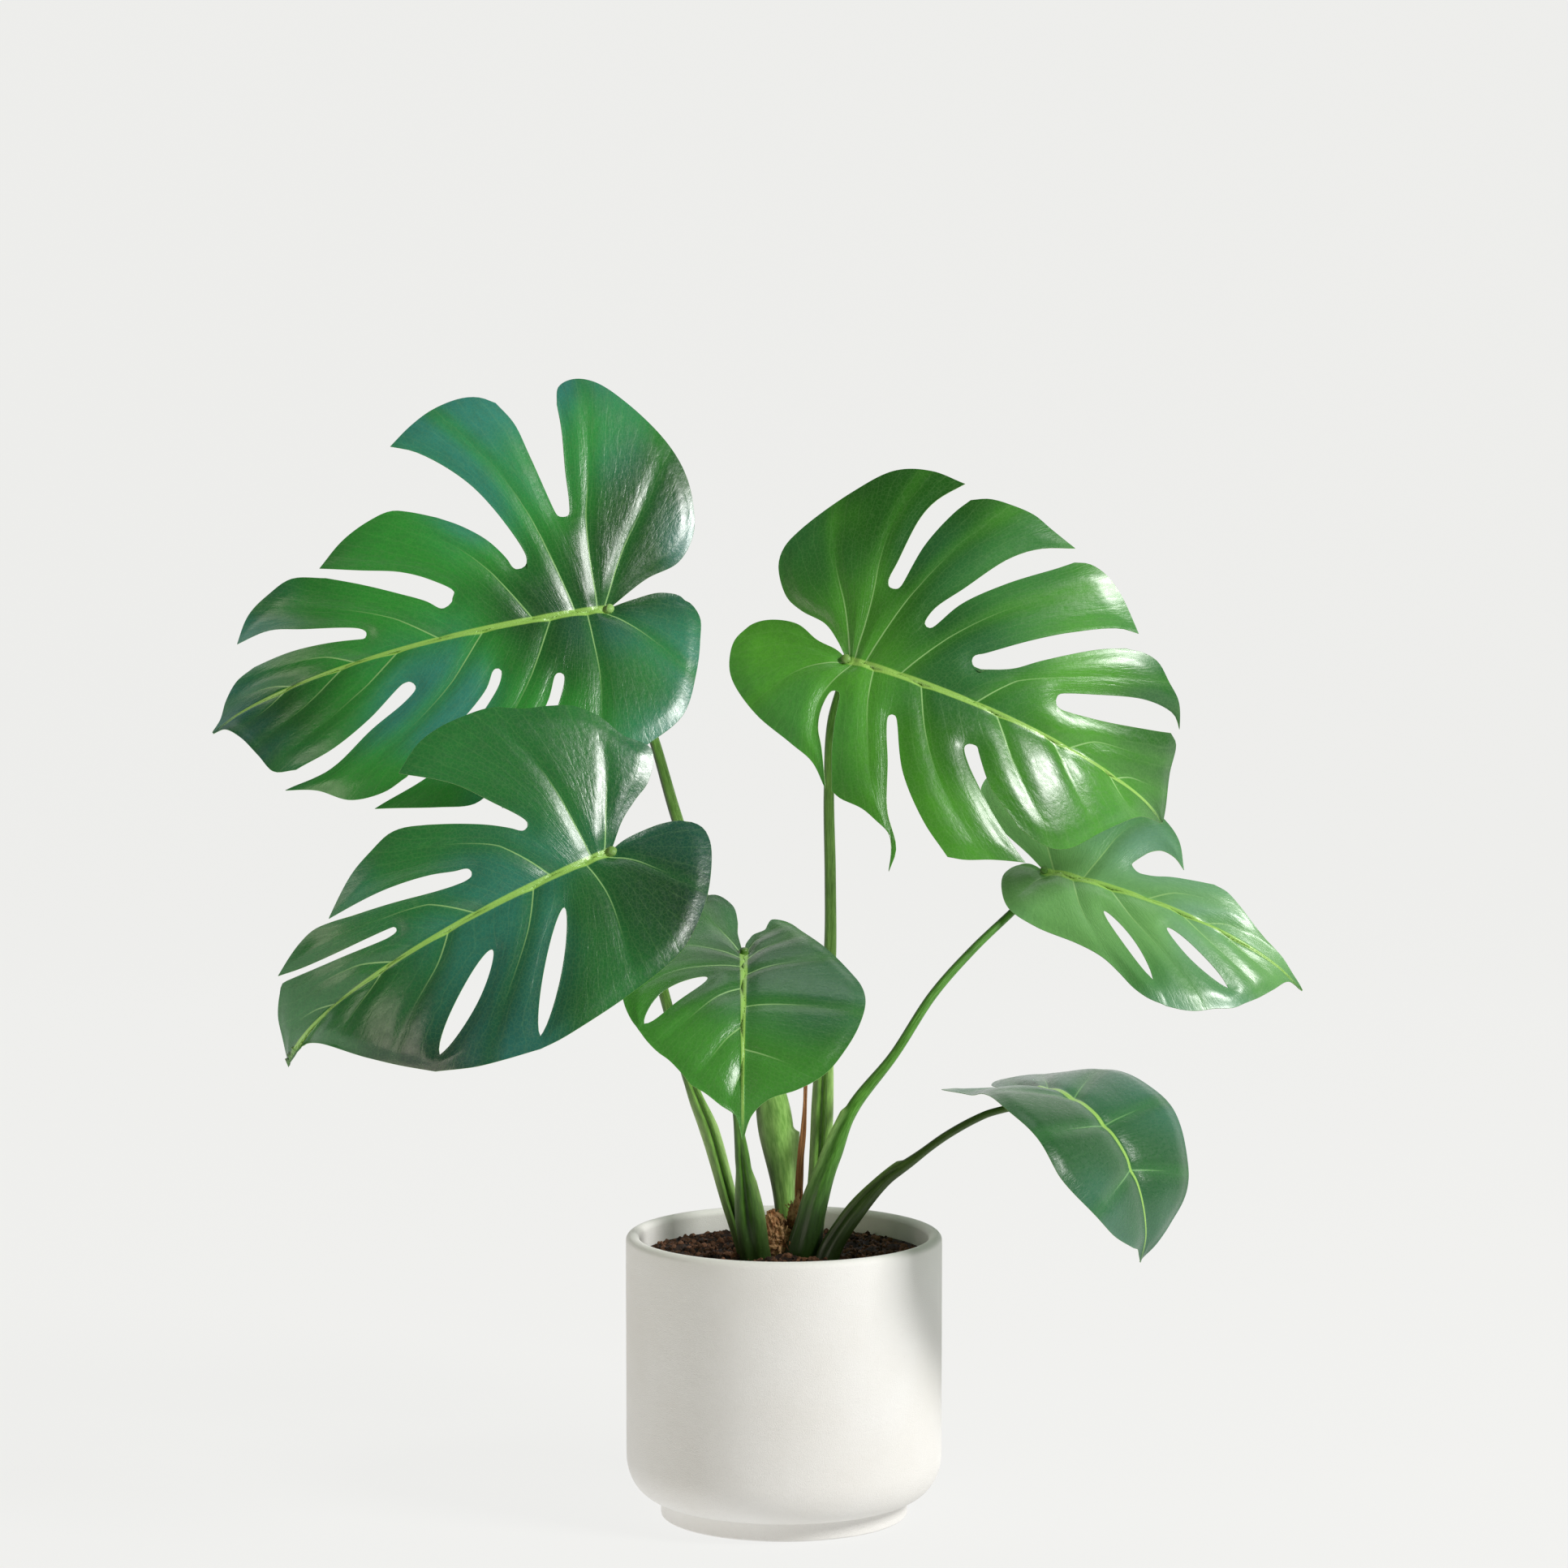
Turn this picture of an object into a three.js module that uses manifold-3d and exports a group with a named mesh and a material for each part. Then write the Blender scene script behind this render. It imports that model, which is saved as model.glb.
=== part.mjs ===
// Potted Swiss cheese plant (Monstera deliciosa) in a round ceramic pot.
// Millimetres, +Z up. The origin is the centre of the pot's flat underside.
// The plant has six leaves: every leaf is a thin blade on its own stalk, and the
// stalks stand in the soil around a short woody stem.

import * as THREE from "three";
import Module from "manifold-3d";
import { mergeVertices } from "three/addons/utils/BufferGeometryUtils.js";

const wasm = await Module();
wasm.setup();

// ---------------------------------------------------------------- driving sizes

const GAP = 0.3; // clearance between pieces that touch

const POT_RADIUS = 110;
const POT_HEIGHT = 198;
const POT_WALL = 9.5;
const POT_FLOOR = 14;
const POT_LIP_ROUND = 4.5; // rounding of the rim, outside and inside
const POT_BELLY_ROUND = 30; // height of the curve that draws the side in to the foot
const FOOT_RADIUS = 86;
const FOOT_HEIGHT = 13;
const POT_SIDES = 56;

const SOIL_BELOW_RIM = 16;
const SOIL_DOME = 4; // the soil stands this much higher in the middle
const SOIL_SIDES = 40;

const STALK_BURIED = 16; // how far stalks and stem go down into the soil
const STALK_SIDES = 8;
const STALK_STEPS = 15;
const STALK_NECK = 9; // last straight stretch of a stalk below its blade
const HEAD_SLOPE = 0.12; // the blade may fall away from its joint this steeply

const BLADE_THICKNESS = 1.2;
const SEAM_ROWS = 2; // rows of cells from the midrib to the inner end of a slit
const SLIT_ROWS = 3; // rows of cells along the slit itself
const MARGIN_ROWS = 1; // rows of cells from the slit's outer end to the margin
const COLUMN_STEP = 0.1; // cell width along the margin, as a share of blade length
const VEIN_LEAN = 1.4; // how strongly side veins lean towards the blade's tip
const MIDRIB_STEP = 0.005; // columns meet the midrib at whole steps, as a share of blade length
const NOTCH_ROUND = 0.015; // rounding at the inner end of a slit, as a share of blade length

const SOIL_LEVEL = POT_HEIGHT - SOIL_BELOW_RIM;

// ---------------------------------------------------------------- leaf outlines
// An outline is flat, in shares of the blade's length: x runs along the midrib
// from the stalk (0) to the tip (1), y is the distance from the midrib. Each half
// is a row of lobes from the base to the tip. Between two lobes lies a slit with
//   foot   where its seam would meet the midrib
//   notch  its inner end
//   base   its bank on the lobe nearer the base, from the notch outwards
//   tip    its bank on the lobe nearer the tip, from the notch outwards
// or a hole, which has close, its outer end, exit, where its seam meets the
// margin, mid, a point half way, and width. The leaf's own tip is where its midrib
// ends, which is a little past 1 on a blade with a drawn-out drip tip.
// attach is where the blade sits on its stalk, with its height above the soil.

const LEAVES = [
  {
    name: "upper_left",
    colour: 0x2f6b34, tip: 1.03,
    attach: [-120, 15, 451], yaw: 199, pitch: -6, roll: -60, length: 300,
    arch: 33, droop: 29, back: 10, fold: [8, 14], curl: [35, 25],
    left: {
      sinus: [[0, 0], [-0.06, -0.012], [-0.13, -0.02], [-0.185, 0]],
      lobes: [
        [[-0.185, 0], [-0.205, 0.05], [-0.19, 0.11], [-0.16, 0.19], [-0.1, 0.295], [0, 0.355],
          [0.1, 0.4], [0.2, 0.43], [0.3, 0.45], [0.36, 0.44]],
        [[0.37, 0.395], [0.42, 0.415], [0.5, 0.4], [0.64, 0.36]],
        [[0.552, 0.31], [0.61, 0.328], [0.69, 0.32], [0.76, 0.27], [0.838, 0.237]],
        [[0.8, 0.2], [0.858, 0.179], [0.892, 0.121], [0.933, 0.055], [0.98, 0.012], [1.03, 0]],
      ],
      slits: [
        { foot: 0.09, notch: [0.155, 0.147], base: [[0.165, 0.2], [0.25, 0.33]], tip: [[0.2, 0.21], [0.29, 0.32]] },
        { foot: 0.22, notch: [0.29, 0.105], base: [[0.3, 0.15], [0.38, 0.235], [0.48, 0.315]],
          tip: [[0.33, 0.15], [0.41, 0.22], [0.5, 0.28]] },
        { foot: 0.4, notch: [0.485, 0.093], base: [[0.52, 0.137], [0.6, 0.175], [0.72, 0.235]],
          tip: [[0.51, 0.087], [0.6, 0.147], [0.7, 0.187]] },
      ],
    },
    right: {
      sinus: [[0, 0], [-0.1, 0.057], [-0.185, 0.088], [-0.234, 0.152]],
      lobes: [
        [[-0.234, 0.152], [-0.248, 0.235], [-0.243, 0.31], [-0.214, 0.392], [-0.15, 0.49], [-0.085, 0.554],
          [-0.036, 0.568], [0.003, 0.553], [0.018, 0.508]],
        [[0.155, 0.533], [0.188, 0.554], [0.229, 0.56], [0.296, 0.546], [0.353, 0.517], [0.406, 0.479]],
        [[0.345, 0.281], [0.403, 0.31], [0.44, 0.322], [0.494, 0.312], [0.56, 0.285], [0.625, 0.24]],
        [[0.618, 0.213], [0.693, 0.238], [0.75, 0.223], [0.81, 0.197], [0.863, 0.148]],
        [[0.842, 0.08], [0.9, 0.07], [0.945, 0.045], [0.985, 0.014], [1.03, 0]],
      ],
      slits: [
        { foot: 0.04, notch: [0.064, 0.229], base: [[0.043, 0.26], [0.035, 0.343], [0.022, 0.442]],
          tip: [[0.08, 0.243], [0.109, 0.392], [0.126, 0.475]] },
        { foot: 0.13, notch: [0.184, 0.123], base: [[0.167, 0.148], [0.18, 0.194], [0.254, 0.343], [0.353, 0.45]],
          tip: [[0.213, 0.152], [0.246, 0.202], [0.296, 0.248]] },
        { foot: 0.29, notch: [0.366, 0.071], base: [[0.345, 0.1], [0.39, 0.14], [0.45, 0.175], [0.54, 0.207]],
          tip: [[0.411, 0.092], [0.47, 0.128], [0.544, 0.172]] },
        { foot: 0.5, notch: [0.563, 0.053], base: [[0.575, 0.075], [0.7, 0.117], [0.776, 0.144]],
          tip: [[0.58, 0.049], [0.65, 0.064], [0.743, 0.077]] },
      ],
    },
  },
  {
    name: "upper_right",
    colour: 0x35803a, tip: 1,
    attach: [42, -10, 418], yaw: -20, pitch: -14, roll: 60, length: 279,
    arch: 49, droop: 32, back: 10, fold: [10, 10], curl: [25, 30],
    left: {
      sinus: [[0, 0], [-0.036, 0.038], [-0.08, 0.07], [-0.151, 0.086], [-0.2, 0.11], [-0.247, 0.179]],
      lobes: [
        [[-0.247, 0.179], [-0.251, 0.228], [-0.23, 0.282], [-0.143, 0.419], [-0.06, 0.506], [0.031, 0.533],
          [0.118, 0.526]],
        [[0.147, 0.489], [0.188, 0.508], [0.246, 0.513], [0.304, 0.51], [0.353, 0.493], [0.424, 0.471]],
        [[0.436, 0.435], [0.469, 0.448], [0.51, 0.444], [0.56, 0.419], [0.65, 0.348]],
        [[0.635, 0.295], [0.685, 0.311], [0.726, 0.31], [0.776, 0.282], [0.825, 0.257], [0.871, 0.204]],
        [[0.85, 0.18], [0.885, 0.168], [0.915, 0.1], [0.955, 0.045], [1, 0]],
      ],
      slits: [
        { foot: 0.03, notch: [0.051, 0.204], base: [[0.031, 0.228], [0.035, 0.27], [0.047, 0.402], [0.068, 0.46]],
          tip: [[0.068, 0.22], [0.084, 0.336], [0.122, 0.444]] },
        { foot: 0.09, notch: [0.163, 0.137], base: [[0.165, 0.19], [0.213, 0.262], [0.287, 0.377], [0.345, 0.431]],
          tip: [[0.188, 0.158], [0.221, 0.22], [0.304, 0.311], [0.403, 0.402]] },
        { foot: 0.24, notch: [0.296, 0.096], base: [[0.316, 0.125], [0.411, 0.204], [0.486, 0.262], [0.602, 0.336]],
          tip: [[0.325, 0.085], [0.395, 0.117], [0.453, 0.166], [0.577, 0.262]] },
        { foot: 0.47, notch: [0.523, 0.092], base: [[0.545, 0.123], [0.602, 0.15], [0.743, 0.212], [0.834, 0.224]],
          tip: [[0.55, 0.077], [0.66, 0.104], [0.792, 0.154]] },
      ],
    },
    right: {
      sinus: [[0, 0], [-0.03, -0.014], [-0.085, -0.024], [-0.15, -0.05], [-0.226, -0.04], [-0.267, -0.013]],
      lobes: [
        [[-0.267, -0.013], [-0.286, 0.028], [-0.28, 0.078], [-0.251, 0.136], [-0.151, 0.214], [-0.036, 0.264],
          [0.031, 0.293], [0.088, 0.35]],
        [[0.105, 0.35], [0.13, 0.361], [0.188, 0.368], [0.229, 0.384], [0.271, 0.405], [0.291, 0.442],
          [0.304, 0.492]],
        [[0.42, 0.4], [0.461, 0.388], [0.519, 0.359], [0.6, 0.325]],
        [[0.552, 0.252], [0.602, 0.262], [0.651, 0.258], [0.693, 0.235], [0.776, 0.136], [0.883, 0.04],
          [1, 0]],
      ],
      slits: [
        { foot: 0.03, notch: [0.014, 0.093], base: [[-0.002, 0.152], [0.01, 0.202], [0.039, 0.252]],
          tip: [[0.031, 0.111], [0.043, 0.169], [0.064, 0.243]] },
        { foot: 0.14, notch: [0.166, 0.107], base: [[0.172, 0.161], [0.2, 0.227], [0.246, 0.351], [0.3, 0.434]],
          tip: [[0.188, 0.127], [0.246, 0.243], [0.337, 0.343]] },
        { foot: 0.31, notch: [0.374, 0.103], base: [[0.358, 0.119], [0.378, 0.152], [0.478, 0.248], [0.577, 0.314]],
          tip: [[0.395, 0.115], [0.453, 0.19], [0.502, 0.223]] },
      ],
    },
  },
  {
    name: "middle_left",
    colour: 0x2c6236, tip: 1.02,
    attach: [-114, -130, 299], yaw: 207, pitch: -18, roll: -56, length: 297,
    arch: 44, droop: 49, back: 10, fold: [8, 14], curl: [30, 25],
    left: {
      sinus: [[0, 0], [-0.036, -0.01], [-0.085, -0.014], [-0.143, -0.012], [-0.193, 0.001]],
      lobes: [
        [[-0.193, 0.001], [-0.218, 0.03], [-0.218, 0.063], [-0.201, 0.104], [-0.135, 0.195], [-0.036, 0.278],
          [0.022, 0.303], [0.163, 0.334], [0.312, 0.352], [0.368, 0.35]],
        [[0.368, 0.35], [0.445, 0.332], [0.511, 0.311], [0.592, 0.27]],
        [[0.592, 0.27], [0.66, 0.208], [0.718, 0.15], [0.825, 0.042], [0.9, 0.006], [0.96, 0.004], [1.02, 0]],
      ],
      slits: [
        { foot: 0.13, notch: [0.167, 0.08], mid: [0.25, 0.19], close: [0.353, 0.322], exit: [0.368, 0.35],
          width: 0.04 },
        { foot: 0.31, notch: [0.353, 0.092], mid: [0.45, 0.166], close: [0.563, 0.241], exit: [0.592, 0.27],
          width: 0.048 },
      ],
    },
    right: {
      sinus: [[0, 0], [-0.052, 0.053], [-0.102, 0.086], [-0.151, 0.115], [-0.191, 0.181]],
      lobes: [
        [[-0.191, 0.181], [-0.143, 0.235], [-0.114, 0.293], [-0.069, 0.339], [-0.019, 0.359], [0.039, 0.376],
          [0.105, 0.409], [0.163, 0.417], [0.229, 0.417], [0.279, 0.405], [0.347, 0.363]],
        [[0.345, 0.227], [0.395, 0.248], [0.428, 0.252], [0.478, 0.239], [0.536, 0.219], [0.631, 0.163]],
        [[0.585, 0.138], [0.631, 0.153], [0.676, 0.163], [0.726, 0.158], [0.813, 0.136]],
        [[0.79, 0.11], [0.817, 0.116], [0.842, 0.103], [0.892, 0.074], [0.941, 0.036], [1.02, 0]],
      ],
      slits: [
        { foot: 0.1, notch: [0.155, 0.123], base: [[0.163, 0.161], [0.196, 0.206], [0.254, 0.285]],
          tip: [[0.188, 0.136], [0.229, 0.165], [0.287, 0.198]] },
        { foot: 0.245, notch: [0.31, 0.088], base: [[0.34, 0.107], [0.395, 0.127], [0.494, 0.149]],
          tip: [[0.34, 0.076], [0.395, 0.086], [0.5, 0.115]] },
        { foot: 0.44, notch: [0.515, 0.061], base: [[0.53, 0.07], [0.66, 0.091], [0.75, 0.113]],
          tip: [[0.54, 0.052], [0.66, 0.076], [0.726, 0.092]] },
      ],
    },
  },
  {
    name: "centre",
    colour: 0x35733a, tip: 1.03,
    attach: [-27, -90, 228], yaw: -90, pitch: -18, roll: 0, length: 164,
    arch: 36, droop: 30, back: -25, fold: [8, 8], curl: [30, 30],
    left: {
      sinus: [[0, 0], [-0.06, 0.005], [-0.102, 0.022], [-0.13, 0.038], [-0.16, 0.085], [-0.2, 0.098],
        [-0.235, 0.115]],
      lobes: [
        [[-0.235, 0.115], [-0.21, 0.18], [-0.12, 0.245], [0.03, 0.34], [0.16, 0.42], [0.29, 0.48],
          [0.4, 0.496], [0.53, 0.469], [0.66, 0.411], [0.76, 0.336], [0.83, 0.22], [0.87, 0.1], [0.93, 0.035],
          [1.03, 0]],
      ],
      slits: [],
    },
    right: {
      sinus: [[0, 0], [-0.073, 0.016], [-0.143, 0.026], [-0.25, 0.028], [-0.36, 0.05]],
      lobes: [
        [[-0.36, 0.05], [-0.43, 0.12], [-0.38, 0.22], [-0.24, 0.32], [-0.08, 0.4], [0.05, 0.45], [0.18, 0.485],
          [0.3, 0.497], [0.41, 0.483], [0.5, 0.452], [0.555, 0.423]],
        [[0.555, 0.423], [0.61, 0.388], [0.66, 0.345], [0.7, 0.297], [0.76, 0.245], [0.81, 0.206],
          [0.842, 0.152], [0.892, 0.086], [0.933, 0.028], [1.03, 0]],
      ],
      slits: [
        { foot: 0.18, notch: [0.25, 0.148], mid: [0.385, 0.3], close: [0.525, 0.398], exit: [0.555, 0.423],
          width: 0.085 },
      ],
    },
  },
  {
    name: "middle_right",
    colour: 0x467f48, tip: 1.06,
    attach: [183, 70, 263], yaw: -22, pitch: -10, roll: 45, length: 199,
    arch: 26, droop: 26, back: 10, fold: [8, 8], curl: [30, 30],
    left: {
      sinus: [[0, 0], [-0.08, 0.05], [-0.2, 0.12], [-0.3, 0.2], [-0.35, 0.29]],
      lobes: [
        [[-0.35, 0.29], [-0.34, 0.36], [-0.27, 0.42], [-0.13, 0.46], [0.04, 0.455], [0.2, 0.41],
          [0.341, 0.336], [0.411, 0.27], [0.468, 0.164]],
        [[0.585, 0.156], [0.635, 0.151], [0.693, 0.125], [0.759, 0.092], [0.825, 0.067], [0.92, 0.045],
          [0.99, 0.018], [1.06, 0]],
      ],
      slits: [
        { foot: 0.22, notch: [0.303, 0.1], base: [[0.31, 0.155], [0.337, 0.191], [0.37, 0.209], [0.42, 0.2]],
          tip: [[0.329, 0.089], [0.378, 0.096], [0.436, 0.117], [0.511, 0.137]] },
      ],
    },
    right: {
      sinus: [[0, 0], [-0.06, -0.012], [-0.106, 0.007]],
      lobes: [
        [[-0.106, 0.007], [-0.13, 0.06], [-0.102, 0.144], [-0.048, 0.21], [0.064, 0.253], [0.221, 0.275],
          [0.329, 0.301], [0.403, 0.334], [0.478, 0.372], [0.54, 0.389], [0.6, 0.387]],
        [[0.6, 0.387], [0.65, 0.374], [0.701, 0.351], [0.759, 0.305], [0.817, 0.264], [0.855, 0.212]],
        [[0.855, 0.212], [0.892, 0.161], [0.933, 0.094], [0.985, 0.015], [1.06, 0]],
      ],
      slits: [
        { foot: 0.18, notch: [0.267, 0.109], mid: [0.4, 0.21], close: [0.515, 0.305], exit: [0.6, 0.387],
          width: 0.04 },
        { foot: 0.385, notch: [0.494, 0.086], mid: [0.63, 0.15], close: [0.767, 0.2], exit: [0.855, 0.212],
          width: 0.05 },
      ],
    },
  },
  {
    name: "lower_right",
    colour: 0x356f3c, tip: 1.02,
    attach: [166, -20, 123], yaw: -48, pitch: 13, roll: 10, length: 180,
    arch: 130, droop: -8, back: -35, fold: [-2, 14], curl: [20, 20],
    left: {
      sinus: [[0, 0], [-0.08, 0.03], [-0.2, 0.05], [-0.28, 0.1]],
      lobes: [
        [[-0.28, 0.1], [-0.31, 0.17], [-0.24, 0.26], [-0.06, 0.34], [0.12, 0.38], [0.28, 0.4], [0.42, 0.405],
          [0.55, 0.375], [0.68, 0.335], [0.76, 0.3], [0.84, 0.24], [0.91, 0.155], [0.955, 0.08], [1.02, 0]],
      ],
      slits: [],
    },
    right: {
      sinus: [[0, 0], [-0.1, 0.012], [-0.22, 0.008], [-0.34, 0.03]],
      lobes: [
        [[-0.34, 0.03], [-0.37, 0.08], [-0.3, 0.13], [-0.16, 0.175], [-0.02, 0.243], [0.113, 0.318],
          [0.246, 0.38], [0.4, 0.405], [0.519, 0.424], [0.569, 0.417], [0.693, 0.339], [0.817, 0.227],
          [0.908, 0.103], [0.949, 0.036], [1.02, 0]],
      ],
      slits: [],
    },
  },
];

// ---------------------------------------------------------------- stalks
// points run from the soil upwards, with heights above the soil; the last stretch to
// the blade is worked out.
// sizes: share of the way up, width, thickness. faces: where the broad side looks.

const STALKS = [
  {
    leaf: "upper_left", colour: 0x5d8a3c, faces: [0.15, -1, 0],
    points: [[4, 13, -1], [1, 14, 27], [-2, 15, 59], [-6, 17, 90], [-12, 19, 124], [-26, 22, 168],
      [-54, 26, 240], [-76, 28, 308], [-91, 30, 360], [-108, 30, 408]],
    sizes: [[0, 12, 10], [0.1, 14, 10], [0.22, 24, 9], [0.34, 13, 9], [0.5, 9, 8.5], [1, 6, 6]],
  },
  {
    leaf: "upper_right", colour: 0x5a8a3a, faces: [0, -1, 0],
    points: [[19, 7, -1], [22, 9, 31], [25, 10, 65], [27, 10, 114], [29, 9, 168], [32, 7, 214],
      [32, 4, 265], [31, 2, 325], [33, 2, 373]],
    sizes: [[0, 12, 10], [0.25, 13, 9], [0.4, 10, 8], [0.6, 8, 7.5], [1, 6, 6]],
  },
  {
    leaf: "middle_left", colour: 0x54803a, faces: [0.2, -1, 0.2],
    points: [[-27, -11, -1], [-30, -12, 14], [-38, -16, 42], [-51, -26, 91], [-65, -38, 130],
      [-81, -43, 186], [-95, -44, 242], [-107, -76, 275], [-114, -105, 288]],
    sizes: [[0, 9, 9], [0.3, 10, 8], [0.5, 7.5, 7], [1, 6, 6]],
  },
  {
    leaf: "centre", colour: 0x4f7d36, faces: [0.1, -1, -0.2],
    points: [[-19, -33, -1], [-21, -35, 13], [-25, -39, 46], [-29, -46, 81], [-32, -54, 108],
      [-34, -66, 154], [-31, -80, 196]],
    sizes: [[0, 16, 11], [0.2, 16, 9], [0.38, 9, 7], [0.5, 6, 6], [1, 5, 5]],
  },
  {
    leaf: "middle_right", colour: 0x4c7536, faces: [0.1, -1, 0],
    points: [[13, -19, -1], [15, -20, 11], [22, -20, 42], [34, -16, 75], [48, -10, 106], [76, 4, 140],
      [104, 24, 180], [133, 42, 210], [163, 60, 236]],
    sizes: [[0, 18, 11], [0.12, 16, 10], [0.25, 12, 9], [0.34, 9, 8], [0.5, 6.5, 6.5], [1, 5, 5]],
  },
  {
    leaf: "lower_right", colour: 0x4a6335, faces: [-0.3, -1, 0.4],
    points: [[29, -31, -1], [33, -31, 11], [49, -32, 36], [70, -32, 59], [89, -31, 73],
      [113, -28, 90], [138, -25, 103]],
    sizes: [[0, 15, 10], [0.25, 12, 8], [0.45, 8, 6.5], [0.6, 5.5, 5.5], [1, 4.6, 4.6]],
  },
];

const DRY_SHEATH = {
  points: [[9, -3, -1], [10, -3, 21], [11, -3, 62], [14, -2, 96], [15, -1, 121]],
  sizes: [[0, 6, 3], [0.5, 5, 2.2], [1, 2.4, 1.4]],
  faces: [0, -1, 0],
};

const WOODY_STEM = {
  points: [[-4, -10, -1], [-4, -10, 13], [-6, -10, 24], [-7, -9, 33]],
  sizes: [[0, 17, 15], [0.6, 15, 13], [0.85, 12, 10], [1, 6, 5]],
  faces: [0, -1, 0],
};

// ---------------------------------------------------------------- small helpers

const radians = THREE.MathUtils.degToRad;
const vector = (p) => new THREE.Vector3(p[0], p[1], p[2] ?? 0);

function smoothLine(points) {
  return new THREE.CatmullRomCurve3(points.map(vector), false, "centripetal");
}

// count + 1 points at equal distances along a smooth line
function spaced(points, count) {
  return smoothLine(points).getSpacedPoints(count);
}

// value at t of a list of [t, a, b, ...] rows, easing from row to row
function eased(rows, t, column) {
  let i = 0;
  while (i < rows.length - 2 && t > rows[i + 1][0]) i += 1;
  const [from, to] = [rows[i], rows[i + 1]];
  const share = THREE.MathUtils.smoothstep(t, from[0], to[0]);
  return THREE.MathUtils.lerp(from[column], to[column], share);
}

function geometryOf(vertices, triangles) {
  const geometry = new THREE.BufferGeometry();
  geometry.setAttribute("position", new THREE.Float32BufferAttribute(vertices, 3));
  geometry.setIndex(triangles);
  return geometry;
}

function toSolid(geometry) {
  const bare = geometry.clone();
  bare.deleteAttribute("normal");
  bare.deleteAttribute("uv");
  const merged = mergeVertices(bare, 1e-4);
  const mesh = new wasm.Mesh({
    numProp: 3,
    vertProperties: new Float32Array(merged.attributes.position.array),
    triVerts: new Uint32Array(merged.index.array),
  });
  return new wasm.Manifold(mesh);
}

function fromSolid(solid) {
  const mesh = solid.getMesh();
  return geometryOf(Array.from(mesh.vertProperties), Array.from(mesh.triVerts));
}

function piece(name, geometry, colour, roughness) {
  const material = new THREE.MeshStandardMaterial({ color: colour, roughness, metalness: 0 });
  const mesh = new THREE.Mesh(geometry, material);
  mesh.name = name;
  return mesh;
}

// ---------------------------------------------------------------- pot and soil

// quarter-round profile points between two directions given in degrees
function arcPoints(cx, cy, rx, ry, fromDegrees, toDegrees, steps) {
  const points = [];
  for (let i = 0; i <= steps; i += 1) {
    const angle = radians(THREE.MathUtils.lerp(fromDegrees, toDegrees, i / steps));
    points.push(new THREE.Vector2(cx + rx * Math.cos(angle), cy + ry * Math.sin(angle)));
  }
  return points;
}

function lathed(profile, sides) {
  const lathe = new THREE.LatheGeometry(profile, sides);
  lathe.rotateX(Math.PI / 2); // the lathe turns about +Y; stand it up on +Z
  return lathe;
}

const INNER_RADIUS = POT_RADIUS - POT_WALL;
const INNER_ROUND = POT_BELLY_ROUND - POT_WALL;

function potGeometry() {
  const foot = new THREE.Vector2(FOOT_RADIUS, 0);
  const footTop = new THREE.Vector2(FOOT_RADIUS, FOOT_HEIGHT);
  const bellyWidth = POT_RADIUS - FOOT_RADIUS;
  const belly = arcPoints(FOOT_RADIUS, FOOT_HEIGHT + POT_BELLY_ROUND, bellyWidth, POT_BELLY_ROUND, -90, 0, 7);
  const lipZ = POT_HEIGHT - POT_LIP_ROUND;
  const outerLip = arcPoints(POT_RADIUS - POT_LIP_ROUND, lipZ, POT_LIP_ROUND, POT_LIP_ROUND, 0, 90, 3);
  const innerLip = arcPoints(INNER_RADIUS + POT_LIP_ROUND, lipZ, POT_LIP_ROUND, POT_LIP_ROUND, 90, 180, 3);
  const innerBelly = arcPoints(
    INNER_RADIUS - INNER_ROUND, POT_FLOOR + INNER_ROUND, INNER_ROUND, INNER_ROUND, 0, -90, 4);
  const profile = [new THREE.Vector2(0, 0), foot, footTop, ...belly.slice(1), ...outerLip, ...innerLip,
    ...innerBelly, new THREE.Vector2(0, POT_FLOOR)];
  return lathed(profile, POT_SIDES);
}

// height of the soil at a distance from the middle
function soilHeight(radius) {
  const share = radius / INNER_RADIUS;
  return SOIL_LEVEL + SOIL_DOME * (1 - share * share);
}

function soilGeometry() {
  const radius = INNER_RADIUS - GAP;
  const round = INNER_ROUND - GAP;
  const bottom = POT_FLOOR + GAP;
  const profile = [new THREE.Vector2(0, bottom)];
  profile.push(...arcPoints(radius - round, bottom + round, round, round, -90, 0, 4));
  const rings = 5;
  for (let i = 0; i <= rings; i += 1) {
    const r = radius * (1 - i / rings);
    profile.push(new THREE.Vector2(r, soilHeight(r)));
  }
  return lathed(profile, SOIL_SIDES);
}

// ---------------------------------------------------------------- swept stalks

// A closed solid along a smooth line with an oval section that changes on the way.
// grow widens it all round, for the pocket that a stalk needs in the soil.
function sweptGeometry(points, sizes, faces, steps, sides, grow = 0) {
  const line = smoothLine(points);
  const vertices = [];
  const triangles = [];
  for (let i = 0; i <= steps; i += 1) {
    const t = i / steps;
    const centre = line.getPointAt(t);
    const along = line.getTangentAt(t);
    const across = new THREE.Vector3().crossVectors(along, vector(faces)).normalize();
    const outward = new THREE.Vector3().crossVectors(across, along);
    const halfWidth = eased(sizes, t, 1) / 2 + grow;
    const halfDepth = eased(sizes, t, 2) / 2 + grow;
    for (let j = 0; j < sides; j += 1) {
      const angle = (2 * Math.PI * j) / sides;
      const p = centre.clone()
        .addScaledVector(across, halfWidth * Math.cos(angle))
        .addScaledVector(outward, halfDepth * Math.sin(angle));
      vertices.push(p.x, p.y, p.z);
    }
  }
  for (let i = 0; i < steps; i += 1) {
    for (let j = 0; j < sides; j += 1) {
      const a = i * sides + j;
      const b = i * sides + ((j + 1) % sides);
      triangles.push(a, a + sides, b, b, a + sides, b + sides);
    }
  }
  const last = steps * sides;
  for (let j = 1; j < sides - 1; j += 1) {
    triangles.push(0, j, j + 1);
    triangles.push(last, last + j + 1, last + j);
  }
  return geometryOf(vertices, triangles);
}

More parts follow.
